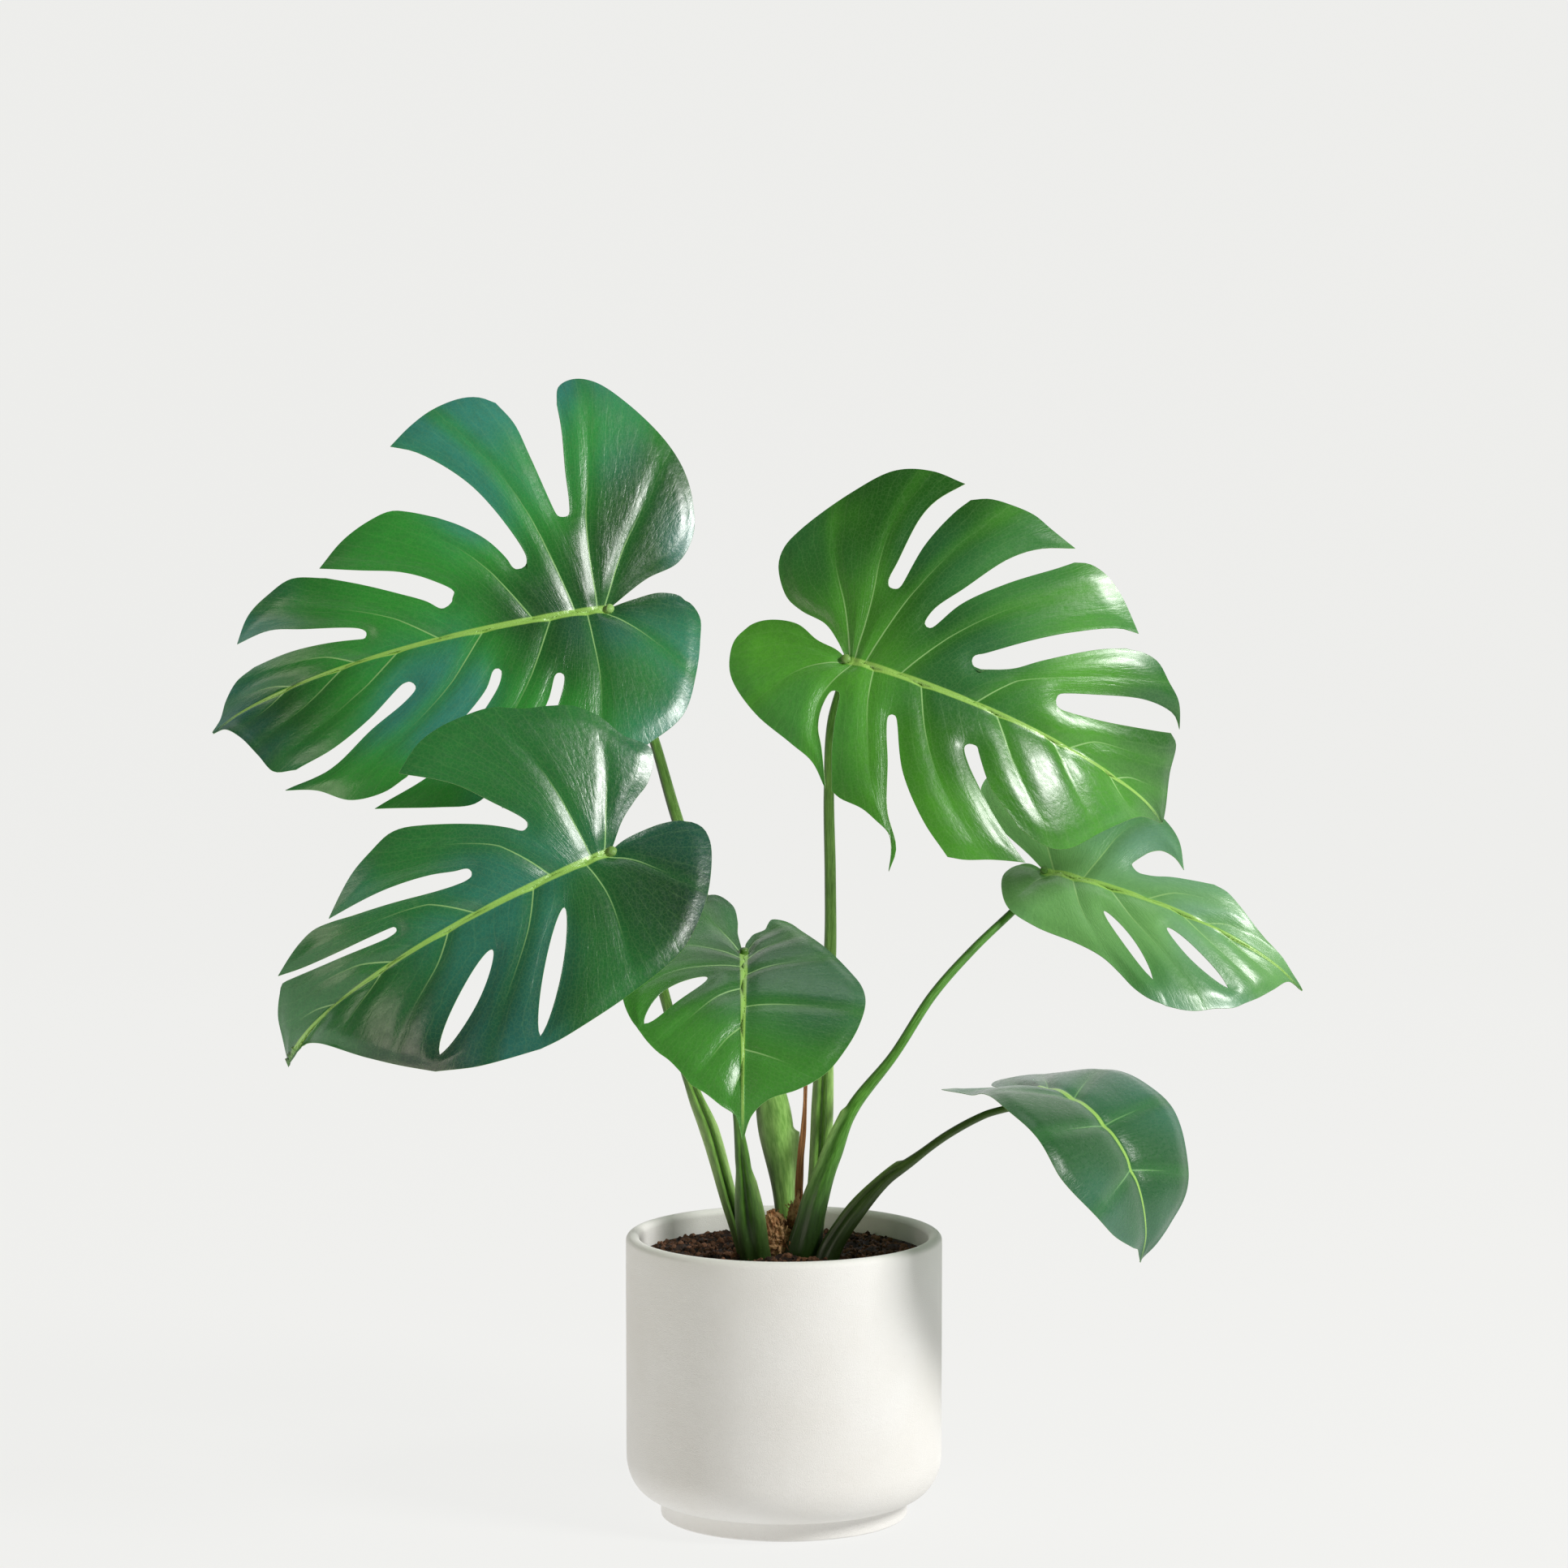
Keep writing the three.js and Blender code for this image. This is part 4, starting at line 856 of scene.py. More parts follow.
@dataclass
class WoodyStem:
    """Short knobbly stem at the middle, with loose fibres."""

    points: Rows = field(default_factory=lambda: [[-1, -10, -1], [-2, -10, 10], [-5, -10, 22], [-9, -10, 34]])
    sizes: Rows = field(
        default_factory=lambda: [[0, 25, 19], [0.5, 24, 17], [0.72, 18, 14], [0.88, 12, 10], [1, 5, 4]]
    )
    faces: tuple[float, float, float] = (0, -1, 0)
    knob: float = 0.09
    fibre_density: float = 60000.0
    fibre_length: float = 6.5
    fibre_width: float = 0.42
    fibre_arch: float = 0.28
    fibre_lift: float = 0.05
    bark_grain: float = 260.0
    bark_depth: float = 5.0
    steps: int = 120
    sides: int = 96
    husk_steps: int = 40
    husk_sides: int = 28
    seed: int = 4
    husks: list[tuple[Rows, float]] = field(
        default_factory=lambda: [
            ([[3, -14, -3], [4, -13, 9], [4, -11, 24], [6, -10, 39]], 9.0),
            ([[-7, -17, -3], [-8, -18, 6], [-9, -16, 18], [-11, -15, 31]], 8.0),
            ([[-1, -19, -3], [-1, -20, 5], [1, -19, 14], [-2, -17, 23]], 8.0),
            ([[9, -8, -3], [9, -8, 12], [8, -6, 30], [10, -4, 47]], 7.0),
        ]
    )
    finish: BarkFinish = field(default_factory=BarkFinish)

    def section(self, t: np.ndarray, angle: np.ndarray, half: np.ndarray) -> tuple[np.ndarray, np.ndarray]:
        """Returns the places round the stem, with leaf scars and splits."""
        scars = np.sin(t * 37 + 2.2 * np.sin(angle + 0.6)) * self.knob
        splits = 0.1 * np.sin(angle * 5 + 21 * t) + 0.07 * np.sin(angle * 9 - 33 * t)
        splits = splits + 0.04 * np.sin(angle * 17 + 15 * t)
        swell = 1 + (scars + splits) * np.clip((1 - t) * 6, 0, 1)
        return half[0] * swell * np.cos(angle), half[1] * swell * np.sin(angle)

    def fibres(self, g: Growth, bark: Socket) -> Socket:
        """Builds the short bent fibres.

        Args:
            g: The tree that they go into.
            bark: The surface that they stand on.

        Returns:
            The fibres.
        """
        spots = g.scattered(bark)
        length = g.given["Length"]
        reach = g.node("ShaderNodeCombineXYZ", {0: length, 2: g.times(length, self.fibre_lift)}).outputs[0]
        bend = {0: g.times(length, 0.5), 2: g.times(length, self.fibre_arch)}
        middle = g.node("ShaderNodeCombineXYZ", bend).outputs[0]
        bow = {"Resolution": 6, "Start": (0, 0, -0.0004), "Middle": middle, "End": reach}
        strand = g.node("GeometryNodeCurveQuadraticBezier", bow).outputs[0]
        ring = g.node(
            "GeometryNodeCurvePrimitiveCircle", {"Resolution": 5, "Radius": g.given["Width"]}
        ).outputs[0]
        tube = {"Curve": strand, "Profile Curve": ring, "Fill Caps": True}
        fibre = g.node("GeometryNodeCurveToMesh", tube).outputs[0]
        turn = {"Rotation": spots["Rotation"], "Rotate By": g.random((-0.3, -0.3, 0), (0.3, 0.3, 6.3), 2)}
        turned = g.node("FunctionNodeRotateRotation", turn, rotation_space="LOCAL").outputs[0]
        return g.planted(spots["Points"], fibre, turned, g.random(0.4, 1.0, 8))

    def build(self) -> None:
        """Makes and dresses the stem."""
        sweep = Sweep(buried(self.points), self.sizes, self.faces, self.steps, self.sides)
        points, faces, layers = sweep.skin(self.section)
        for route, width in self.husks:
            sizes = [[0, width, 2.4], [0.6, width * 0.8, 1.8], [1, 1.5, 0.7]]
            strip = Sweep(on_soil(route), sizes, self.faces, self.husk_steps, self.husk_sides)
            more, skin, marks = strip.skin(DrySheath.section)
            faces += [tuple(v + len(points) for v in face) for face in skin]
            points = np.vstack([points, more])
            layers = {name: np.concatenate([values, marks[name]]) for name, values in layers.items()}
        stem = new_piece("woody_stem_bark", points, faces, layers)
        g = Growth("stem_fibres", ("Density", "Length", "Width"), self.finish.material())
        values = {
            "Density": self.fibre_density,
            "Length": self.fibre_length * MM,
            "Width": self.fibre_width * MM,
            "Seed": self.seed,
        }
        bark = g.roughened(g.given["Geometry"], self.bark_grain, self.bark_depth * MM)
        declare(g.grow(stem, self.fibres(g, bark), bark, values), "woody_stem")


@dataclass
class DrySheath:
    """Dry papery strip that stands up behind the stem, curled along its length."""

    points: Rows = field(
        default_factory=lambda: [[9, -3, -1], [10, -3, 21], [11, -3, 62], [14, -2, 96], [15, -1, 121]]
    )
    sizes: Rows = field(default_factory=lambda: [[0, 6, 3], [0.5, 5, 2.2], [1, 2.4, 1.4]])
    faces: tuple[float, float, float] = (0, -1, 0)
    steps: int = 90
    sides: int = 40
    finish: PaperFinish = field(default_factory=PaperFinish)

    @staticmethod
    def section(t: np.ndarray, angle: np.ndarray, half: np.ndarray) -> tuple[np.ndarray, np.ndarray]:
        """Returns the places round a strip that is hollow in front and creased."""
        crease = 1 + 0.1 * np.sin(angle * 9 + 11 * t) + 0.07 * np.sin(angle * 4 - 23 * t)
        hollow = 1 - 0.85 * np.exp(-((np.cos(angle) / 0.5) ** 2)) * (np.sin(angle) > 0)
        return half[0] * crease * np.cos(angle), half[1] * crease * hollow * np.sin(angle)

    def build(self) -> None:
        """Makes and dresses the strip."""
        sweep = Sweep(buried(self.points), self.sizes, self.faces, self.steps, self.sides)
        points, faces, layers = sweep.skin(self.section)
        piece = new_piece("dry_leaf_sheath", points, faces, layers)
        declare(piece, "dry_sheath", self.finish.material())


# ---------------------------------------------------------------- leaves


class Side(Enum):
    """Which half of a blade, seen from its stalk towards its tip."""

    LEFT = 1
    RIGHT = -1


@dataclass
class Slit:
    """A slit between two lobes, or with close and exit a hole.

    In this order: foot is where its seam would meet the midrib, notch its inner end,
    base and tip its banks on the lobes nearer the base and the tip. A hole has mid, a point half
    way, close, its outer end, exit, where its seam meets the margin, and width.
    """

    foot: float
    notch: Point
    base: Rows = field(default_factory=list)
    tip: Rows = field(default_factory=list)
    mid: Point | None = None
    close: Point | None = None
    exit: Point | None = None
    width: float = 0.0

    LEAST = 0.003  # least half width and depth of a notch, as a share of blade length
    WIDE = 0.42  # half width of a notch, as a share of the gap between its banks
    DEEP = 0.6  # depth of a notch, as a share of the room up to its banks
    BENDS = (-1.5, -0.75, 0.75, 1.5)  # angles at which a notch's rounding has points, in radians

    def banks(
        self, rows: np.ndarray, base_tip: Point, next_shoulder: Point | None
    ) -> tuple[np.ndarray, np.ndarray]:
        """Returns both banks as columns of points from the midrib to the margin.

        Args:
            rows: Shares of a column at which the points lie.
            base_tip: Last rim point of the lobe nearer the base.
            next_shoulder: First rim point of the lobe nearer the tip.

        Returns:
            The bank nearer the base, and the bank nearer the tip.
        """
        foot, notch = np.array([self.foot, 0.0]), np.array(self.notch)
        seam = foot + (notch - foot) * np.clip(rows / SEAM_END, 0, 1)[:, None]
        inner = (rows <= SEAM_END + 1e-9)[:, None]
        if self.close is not None:
            outer = [self.hole_bank(rows, side) for side in (1, -1)]
        else:
            mean = (np.array(self.base[0]) + np.array(self.tip[0])) / 2
            outward = unit(mean - notch)
            gap = np.array(self.base[0]) - np.array(self.tip[0])
            sideways = gap - outward * np.dot(gap, outward)
            room = min(float(np.dot(np.array(p[0]) - notch, outward)) for p in (self.base, self.tip))
            wide = float(np.clip(self.WIDE * np.linalg.norm(sideways), self.LEAST, NOTCH_ROUND))
            deep = min(wide, max(self.DEEP * room, self.LEAST))
            sideways = unit(sideways)
            bend = [
                notch + outward * deep * (1 - math.cos(a)) + sideways * wide * math.sin(a) for a in self.BENDS
            ]
            share = (rows - SEAM_END) / (1 - SEAM_END)
            lines = [
                [self.notch, bend[2], bend[3], *self.base, base_tip],
                [self.notch, bend[1], bend[0], *self.tip, next_shoulder],
            ]
            outer = [SmoothLine(line).at(share) for line in lines]
        return np.where(inner, seam, outer[0]), np.where(inner, seam, outer[1])

    def hole_bank(self, rows: np.ndarray, side: int) -> np.ndarray:
        """Returns one side of a hole, and beyond it the seam out to the margin."""
        share = np.clip((rows - SEAM_END) / (HOLE_END - SEAM_END), 0, 1)
        middle = SmoothLine([self.notch, self.mid, self.close]).at(share)
        direction = unit(np.array(self.close) - np.array(self.notch))
        bulge = np.sqrt(np.maximum(np.sin(np.pi * share), 0)) * (share < 1 - 1e-9)
        bank = middle + np.array([-direction[1], direction[0]]) * (side * self.width / 2 * bulge)[:, None]
        beyond = np.clip((rows - HOLE_END) / (1 - HOLE_END), 0, 1)[:, None]
        return np.where(beyond > 0, np.array(self.close) * (1 - beyond) + np.array(self.exit) * beyond, bank)


@dataclass
class HalfOutline:
    """Outline of one half of a blade, in shares of its length, lobe by lobe from the base.

    veins gives, for each lobe, how far across it each side vein starts.
    """

    sinus: Rows
    lobes: list[Rows]
    slits: list[Slit]
    veins: Rows


@dataclass
class Patch:
    """The grid of one lobe: columns run from the midrib to the margin."""

    xy: np.ndarray
    rows: np.ndarray
    lane: np.ndarray
    veins: list[int]


@dataclass
class LeafShape:
    """One leaf: its outline, and how its blade is placed and bent.

    attach is in millimetres, with its height above the soil; angles are in degrees.
    The midrib falls by arch and droop towards the tip and by back behind the stalk;
    each half rises by fold from the midrib and curls down by curl.
    """

    name: str
    tip: float
    attach: Point
    yaw: float
    pitch: float
    roll: float
    length: float
    arch: float
    droop: float
    back: float
    fold: Point
    curl: Point
    left: HalfOutline
    right: HalfOutline

    def __post_init__(self) -> None:
        """Works out the blade's own directions and its bent midrib."""
        y, p, r = (math.radians(a) for a in (self.yaw, self.pitch, self.roll))
        self.along = np.array([math.cos(y) * math.cos(p), math.sin(y) * math.cos(p), math.sin(p)])
        level = np.array([-math.sin(y), math.cos(y), 0.0])
        upward = np.cross(self.along, level)
        self.across = level * math.cos(r) + upward * math.sin(r)
        self.up = upward * math.cos(r) - level * math.sin(r)
        self.origin = on_soil([self.attach])[0]
        self.stops = np.linspace(-0.5, 1.1, 1601)
        step = np.diff(self.stops)
        middle = self.slope((self.stops[1:] + self.stops[:-1]) / 2)
        self.mid_along = np.concatenate([[0.0], np.cumsum(np.cos(middle) * step)])
        self.mid_up = np.concatenate([[0.0], np.cumsum(np.sin(middle) * step)])
        self.mid_along -= np.interp(0.0, self.stops, self.mid_along)
        self.mid_up -= np.interp(0.0, self.stops, self.mid_up)

    def slope(self, x: np.ndarray) -> np.ndarray:
        """Returns the midrib's slope at shares of its length, in radians."""
        ahead = -(math.radians(self.arch) * x + math.radians(self.droop) * x**3)
        return np.where(x < 0, -math.radians(self.back) * x, ahead)

    def place(self, xy: np.ndarray) -> np.ndarray:
        """Bends flat points into the hanging blade.

        Args:
            xy: Flat points, in shares of the blade's length.

        Returns:
            Points in millimetres.
        """
        x, y = xy[:, 0], xy[:, 1]
        fold = np.radians(np.where(y >= 0, self.fold[0], self.fold[1]))
        curl = np.radians(np.where(y >= 0, self.curl[0], self.curl[1]))
        reach = np.abs(y)
        out = (np.sin(fold) - np.sin(fold - curl * reach)) / curl
        rise = (np.cos(fold - curl * reach) - np.cos(fold)) / curl
        slope = self.slope(x)
        along = np.interp(x, self.stops, self.mid_along) - np.sin(slope) * rise
        up = np.interp(x, self.stops, self.mid_up) + np.cos(slope) * rise
        parts = along[:, None] * self.along + (
            np.sign(y) * out
        )[:, None] * self.across + up[:, None] * self.up
        return self.origin + self.length * parts


@dataclass
class Blade:
    """The finished blade of one leaf: a thin closed skin with ribs, sunk veins and rolled margins."""

    shape: LeafShape
    slot: str
    finish: LeafFinish
    thickness: float = 1.0
    edge_thickness: float = 0.5
    edge_bulge: float = 0.22
    column_step: float = 0.0095
    column_gap: float = 0.006
    fewest_columns: int = 8
    seam_rows: int = 13
    open_rows: int = 30
    vein_shoulder: float = 0.014
    relax_steps: int = 160
    rib_height: float = 1.9
    vein_height: float = 0.55
    rib_width: float = 3.4
    rib_narrowing: float = 2.6
    vein_width: float = 1.3
    edge_taper: float = 12.0
    valley: float = 1.3
    valley_width: float = 8.0
    quilt: float = 1.5
    quilt_width: float = 5.5
    crease: float = 0.4
    crease_width: float = 1.6
    roll_width: float = 6.5
    roll: float = 1.7
    wave: float = 1.2
    wave_phase: float = 0.0

    def rows(self) -> np.ndarray:
        """Returns the shares of a column at which its points lie, closer at the midrib and at a notch."""
        seam = SEAM_END * np.linspace(0, 1, self.seam_rows + 1) ** 1.5
        opened = SEAM_END + (1 - SEAM_END) * np.linspace(0, 1, self.open_rows + 1) ** 1.4
        return np.concatenate([seam, opened[1:]])

    def lobe_columns(self, rim: SmoothLine, veins: Point) -> np.ndarray:
        """Returns the shares across a lobe at which its columns lie, with one on every vein."""
        even = np.linspace(0, 1, max(self.fewest_columns, round(rim.length / self.column_step)) + 1)
        extra = [v + d for v in veins for d in (-self.vein_shoulder, 0.0, self.vein_shoulder)]
        clear = [a for a in even if all(abs(a - v) > self.column_gap for v in extra)]
        return np.array(sorted({0.0, 1.0, *clear, *(e for e in extra if 0 < e < 1)}))

    def half_patches(self, half: HalfOutline) -> list[Patch]:
        """Builds the flat grids of one half's lobes.

        Args:
            half: Outline of that half.

        Returns:
            One grid for each lobe, from the base to the tip.
        """
        rows = self.rows()
        tip = self.shape.tip
        first = SmoothLine(half.sinus, after=half.lobes[0][1]).at(rows)
        foot_from, lane_from = 0.0, 0.0
        patches = []
        for k, points in enumerate(half.lobes):
            rim = SmoothLine(points, before=half.sinus[-2] if k == 0 else None)
            a = self.lobe_columns(rim, half.veins[k])
            following = None
            if k < len(half.slits):
                last, following = half.slits[k].banks(rows, points[-1], half.lobes[k + 1][0])
                foot_to = half.slits[k].foot
            else:
                last, foot_to = np.tile([tip, 0.0], (len(rows), 1)), tip
            foot = np.round((foot_from + (foot_to - foot_from) * a) / FOOT_STEP) * FOOT_STEP
            bottom = np.stack([foot, np.zeros(len(a))], axis=-1)
            top = rim.at(1 - (1 - a) ** VEIN_LEAN)
            u, t = a[:, None, None], rows[None, :, None]
            edges = (1 - u) * first[None] + u * last[None] + (1 - t) * bottom[:, None] + t * top[:, None]
            corners = (
                1 - u
            ) * (1 - t) * bottom[0] + u * (1 - t) * bottom[-1] + (1 - u) * t * top[0] + u * t * top[-1]
            threads = max(2, round(rim.length / LANE_WIDTH))
            veins = [int(np.argmin(np.abs(a - v))) for v in half.veins[k]]
            patches.append(Patch(edges - corners, rows, lane_from + a * threads, veins))
            first, foot_from, lane_from = following, foot_to, lane_from + threads
        return patches

    def flat(self) -> tuple[np.ndarray, Faces, dict[str, np.ndarray]]:
        """Joins both halves' grids into one flat sheet.

        Returns:
            Flat points in shares of the length, faces, and numbers of each point.
        """
        halves = {
            Side.LEFT: self.half_patches(self.shape.left), Side.RIGHT: self.half_patches(self.shape.right)
        }
        xy, reach, lane, grids = [], [], [], []
        count = 0
        for side, patches in halves.items():
            for p in patches:
                n, m = p.xy.shape[:2]
                xy.append(p.xy.reshape(-1, 2) * np.array([1.0, side.value]))
                reach.append(np.tile(p.rows, n))
                lane.append(np.repeat(p.lane, m))
                grids.append((side, np.arange(count, count + n * m).reshape(n, m), p.veins))
                count += n * m
        xy = np.vstack(xy)
        snapped = np.round(xy * WELD_GRID).astype(np.int64)
        keys, kept, place = np.unique(snapped, axis=0, return_index=True, return_inverse=True)
        place = place.ravel()
        layers = {"reach": np.concatenate(reach)[kept], "lane": np.concatenate(lane)[kept]}
        midrib = {int(key[0]): i for i, key in enumerate(keys) if key[1] == 0 and layers["reach"][i] == 0}
        stops = sorted(midrib)
        faces: Faces = []
        for side, grid, _ in grids:
            ids = place[grid]
            turn = slice(None, None, side.value)
            for i in range(len(ids) - 1):
                here, there = ids[i], ids[i + 1]
                cells = [(here[j], there[j], there[j + 1], here[j + 1]) for j in range(1, len(here) - 1)]
                start, end = keys[here[0], 0], keys[there[0], 0]
                foot = [midrib[x] for x in stops if start <= x <= end]
                cells += [(here[1], a, b) for a, b in zip(foot, foot[1:])]
                cells.append((here[1], foot[-1], there[1]))
                for cell in cells:
                    corners = list(dict.fromkeys(int(c) for c in cell))
                    if len(corners) > 2:
                        faces.append(tuple(corners[turn]))
        fixed = np.unique(np.array([*(v for e in outline_edges(faces) for v in e), *midrib.values()]))
        sheet = relaxed(xy[kept], faces, fixed, self.relax_steps)
        layers["vein_gap"] = np.full(len(sheet), FAR_AWAY)
        for side in Side:
            mine = [(place[grid], veins) for s, grid, veins in grids if s is side]
            courses = [
                SmoothLine(sheet[ids[v]]).at(np.linspace(0, 1, COURSE_STEPS))
                for ids, veins in mine
                for v in veins
            ]
            tree = nearest(np.vstack(courses) * self.shape.length)
            for point in np.unique(np.concatenate([ids.ravel() for ids, _ in mine])):
                distance = tree.find((*(sheet[point] * self.shape.length), 0.0))[2]
                layers["vein_gap"][point] = min(layers["vein_gap"][point], distance)
            for ids, veins in mine:
                layers["vein_gap"][ids[veins]] = 0.0
        return sheet, faces, layers

    def relief(self, layers: dict[str, np.ndarray], xy: np.ndarray) -> np.ndarray:
        """Returns how far the blade's middle is raised at each point, in millimetres."""
        reach, vein_gap, edge_gap, rib_gap = (layers[n] for n in ("reach", "vein_gap", "edge_gap", "rib_gap"))
        valley = -self.valley * np.exp(-((rib_gap / self.valley_width) ** 2))
        groove = -self.quilt * np.exp(-((vein_gap / self.quilt_width) ** 2)) * (1 - reach**2.5)
        crease = -self.crease * np.exp(-((vein_gap / self.crease_width) ** 2)) * (1 - reach**2)
        rolled = -self.roll * np.exp(-((edge_gap / self.roll_width) ** 2))
        x, y = xy.T * self.shape.length
        swell = np.sin(x / 23 + self.wave_phase) * np.sin(
            y / 31 + 2 * self.wave_phase
        ) * np.minimum(reach * 2, 1.0)
        flutter = np.sin(layers["lane"] * 0.9 + self.wave_phase) * reach**3
        return valley + groove + crease + rolled + self.wave * (0.8 * swell + 0.5 * flutter)

    def build(self) -> None:
        """Makes and dresses the blade."""
        xy, faces, layers = self.flat()
        length = self.shape.length
        middle = self.shape.place(xy)
        border = outline_edges(faces)
        ends = np.array(border)
        shares = np.linspace(0, 1, 4, endpoint=False)[:, None, None]
        along_edge = (xy[ends[:, 0]] * (1 - shares) + xy[ends[:, 1]] * shares).reshape(-1, 2)
        tree = nearest(along_edge * length)
        layers["edge_gap"] = np.array([tree.find((*q, 0.0))[2] for q in xy * length])
        layers["edge_gap"][np.unique(ends)] = 0.0
        layers["rib_gap"] = np.hypot(np.minimum(xy[:, 0], 0.0), xy[:, 1]) * length
        layers["x_share"] = np.clip(xy[:, 0] / self.shape.tip, 0, 1)
        normals = corner_normals(middle, faces)
        middle = middle + normals * self.relief(layers, xy)[:, None]
        normals = corner_normals(middle, faces)
        inward = smoothstep(layers["edge_gap"], 0.0, self.edge_taper)
        half = self.edge_thickness + (self.thickness - self.edge_thickness) * inward
        rib = np.clip(1 - layers["rib_gap"] / (self.rib_width - self.rib_narrowing * layers["x_share"]), 0, 1)
        vein = np.exp(-((layers["vein_gap"] / self.vein_width) ** 2)) * (1 - layers["reach"])
        rib *= smoothstep(1 - layers["x_share"], 0.0, 0.12)
        lower = half / 2 + self.rib_height * (
            1 - layers["x_share"]
        ) ** 0.6 * np.sqrt(rib) + self.vein_height * vein
        upper = half / 2 + 0.35 * np.sqrt(rib) + 0.15 * vein
        rim_ids = np.unique(ends)
        lower[rim_ids] = upper[rim_ids] = half[rim_ids] / 2
        rim_place = {int(v): k for k, v in enumerate(rim_ids)}
        outward = np.zeros((len(xy), 3))
        for a, b in border:
            push = np.cross(middle[b] - middle[a], normals[a])
            outward[a] += push
            outward[b] += push
        rim = middle[rim_ids] + unit(outward[rim_ids]) * self.edge_bulge
        count = len(xy)
        points = np.vstack([middle + normals * upper[:, None], middle - normals * lower[:, None], rim])
        skin = list(faces) + [tuple(count + v for v in reversed(f)) for f in faces]
        sharp = []
        for a, b in border:
            ra, rb = 2 * count + rim_place[a], 2 * count + rim_place[b]
            skin += [(b, a, ra, rb), (rb, ra, count + a, count + b)]
            sharp += [(a, b), (count + a, count + b)]
        both = {name: np.concatenate([values, values, values[rim_ids]]) for name, values in layers.items()}
        both["under"] = np.concatenate([np.zeros(count), np.ones(count), np.full(len(rim_ids), 0.5)])
        # edge marks the rim faces, which the finish paints pale: margin colour and a painted edge highlight.
        both["edge"] = np.concatenate([np.zeros(2 * count), np.ones(len(rim_ids))])
        piece = new_piece(f"blade_{self.shape.name}", points, skin, both, sharp)
        declare(piece, f"leaf_{self.shape.name}", self.finish.material())


def fan_triangles(faces: Sequence[Sequence[int]]) -> np.ndarray:
    """Returns the triangles that each face splits into from its first corner."""
    return np.array([(f[0], f[k], f[k + 1]) for f in faces for k in range(1, len(f) - 1)])


def directed_edges(faces: Sequence[Sequence[int]]) -> set[tuple[int, int]]:
    """Returns the edges of all faces, each from corner to corner."""
    return {(a, b) for f in faces for a, b in zip(f, (*f[1:], f[0]))}


def nearest(points: np.ndarray) -> KDTree:
    """Returns a search tree over flat points."""
    tree = KDTree(len(points))
    for i, (x, y) in enumerate(points):
        tree.insert((x, y, 0.0), i)
    tree.balance()
    return tree


def relaxed(points: np.ndarray, faces: Sequence[Sequence[int]], fixed: np.ndarray, steps: int) -> np.ndarray:
    """Evens out a flat net, as if each of its edges were a spring.

    Args:
        points: Flat points.
        faces: Faces, by point number.
        fixed: Numbers of the points that stay.
        steps: How many times each point moves towards its neighbours.

    Returns:
        The moved points.
    """
    pairs = np.array(sorted({(min(edge), max(edge)) for edge in directed_edges(faces)}))
    stiff = 1 / np.maximum(np.linalg.norm(points[pairs[:, 0]] - points[pairs[:, 1]], axis=1), 1e-3)
    ends, others = np.concatenate([pairs[:, 0], pairs[:, 1]]), np.concatenate([pairs[:, 1], pairs[:, 0]])
    weights = np.concatenate([stiff, stiff])
    total = np.bincount(ends, weights, len(points))
    free = np.ones(len(points), bool)
    free[fixed] = False
    moved = points.copy()
    for _ in range(steps):
        pull = [np.bincount(ends, weights * moved[others, k], len(points)) for k in range(2)]
        moved[free] = (np.stack(pull, axis=-1) / total[:, None])[free]
    return unfolded(moved, faces, free)


def unfolded(points: np.ndarray, faces: Sequence[Sequence[int]], free: np.ndarray) -> np.ndarray:
    """Opens the folded triangles of a flat net by moving their corners as little as it takes.

    Args:
        points: Flat points.
        faces: Faces, by point number, whose corners should run anticlockwise.
        free: Whether each point may move.

    Returns:
        The moved points.
    """
    corners = fan_triangles(faces)
    moved = points.copy()
    for _ in range(UNFOLD_STEPS):
        sides = [moved[corners[:, k - 2]] - moved[corners[:, k - 1]] for k in range(3)]
        area = sides[1][:, 0] * sides[2][:, 1] - sides[1][:, 1] * sides[2][:, 0]
        folded = area < LEAST_AREA
        if not folded.any():
            break
        ids, lack = corners[folded], LEAST_AREA - area[folded]
        slopes = np.stack(
            [np.stack([s[folded, 1], -s[folded, 0]], -1) for s in sides], axis=1
        ) * free[ids][..., None]
        shift = slopes * (lack / np.maximum((slopes**2).sum((1, 2)), 1e-12))[:, None, None]
        total, count = np.zeros_like(moved), np.zeros(len(moved))
        np.add.at(total, ids.ravel(), shift.reshape(-1, 2))
        np.add.at(count, ids.ravel(), 1)
        moved += UNFOLD_PUSH * total / np.maximum(count, 1)[:, None]
    return moved


def outline_edges(faces: Sequence[Sequence[int]]) -> list[tuple[int, int]]:
    """Returns the directed edges that only one face has."""
    edges = directed_edges(faces)
    return sorted((a, b) for a, b in edges if (b, a) not in edges)


def corner_normals(points: np.ndarray, faces: Sequence[Sequence[int]]) -> np.ndarray:
    """Returns each point's normal, weighted by the size of the faces round it."""
    triangles = fan_triangles(faces)
    a, b, c = (points[triangles[:, k]] for k in range(3))
    normal = np.cross(b - a, c - a)
    total = np.zeros_like(points)
    for k in range(3):
        np.add.at(total, triangles[:, k], normal)
    return unit(total)


# ---------------------------------------------------------------- stalks


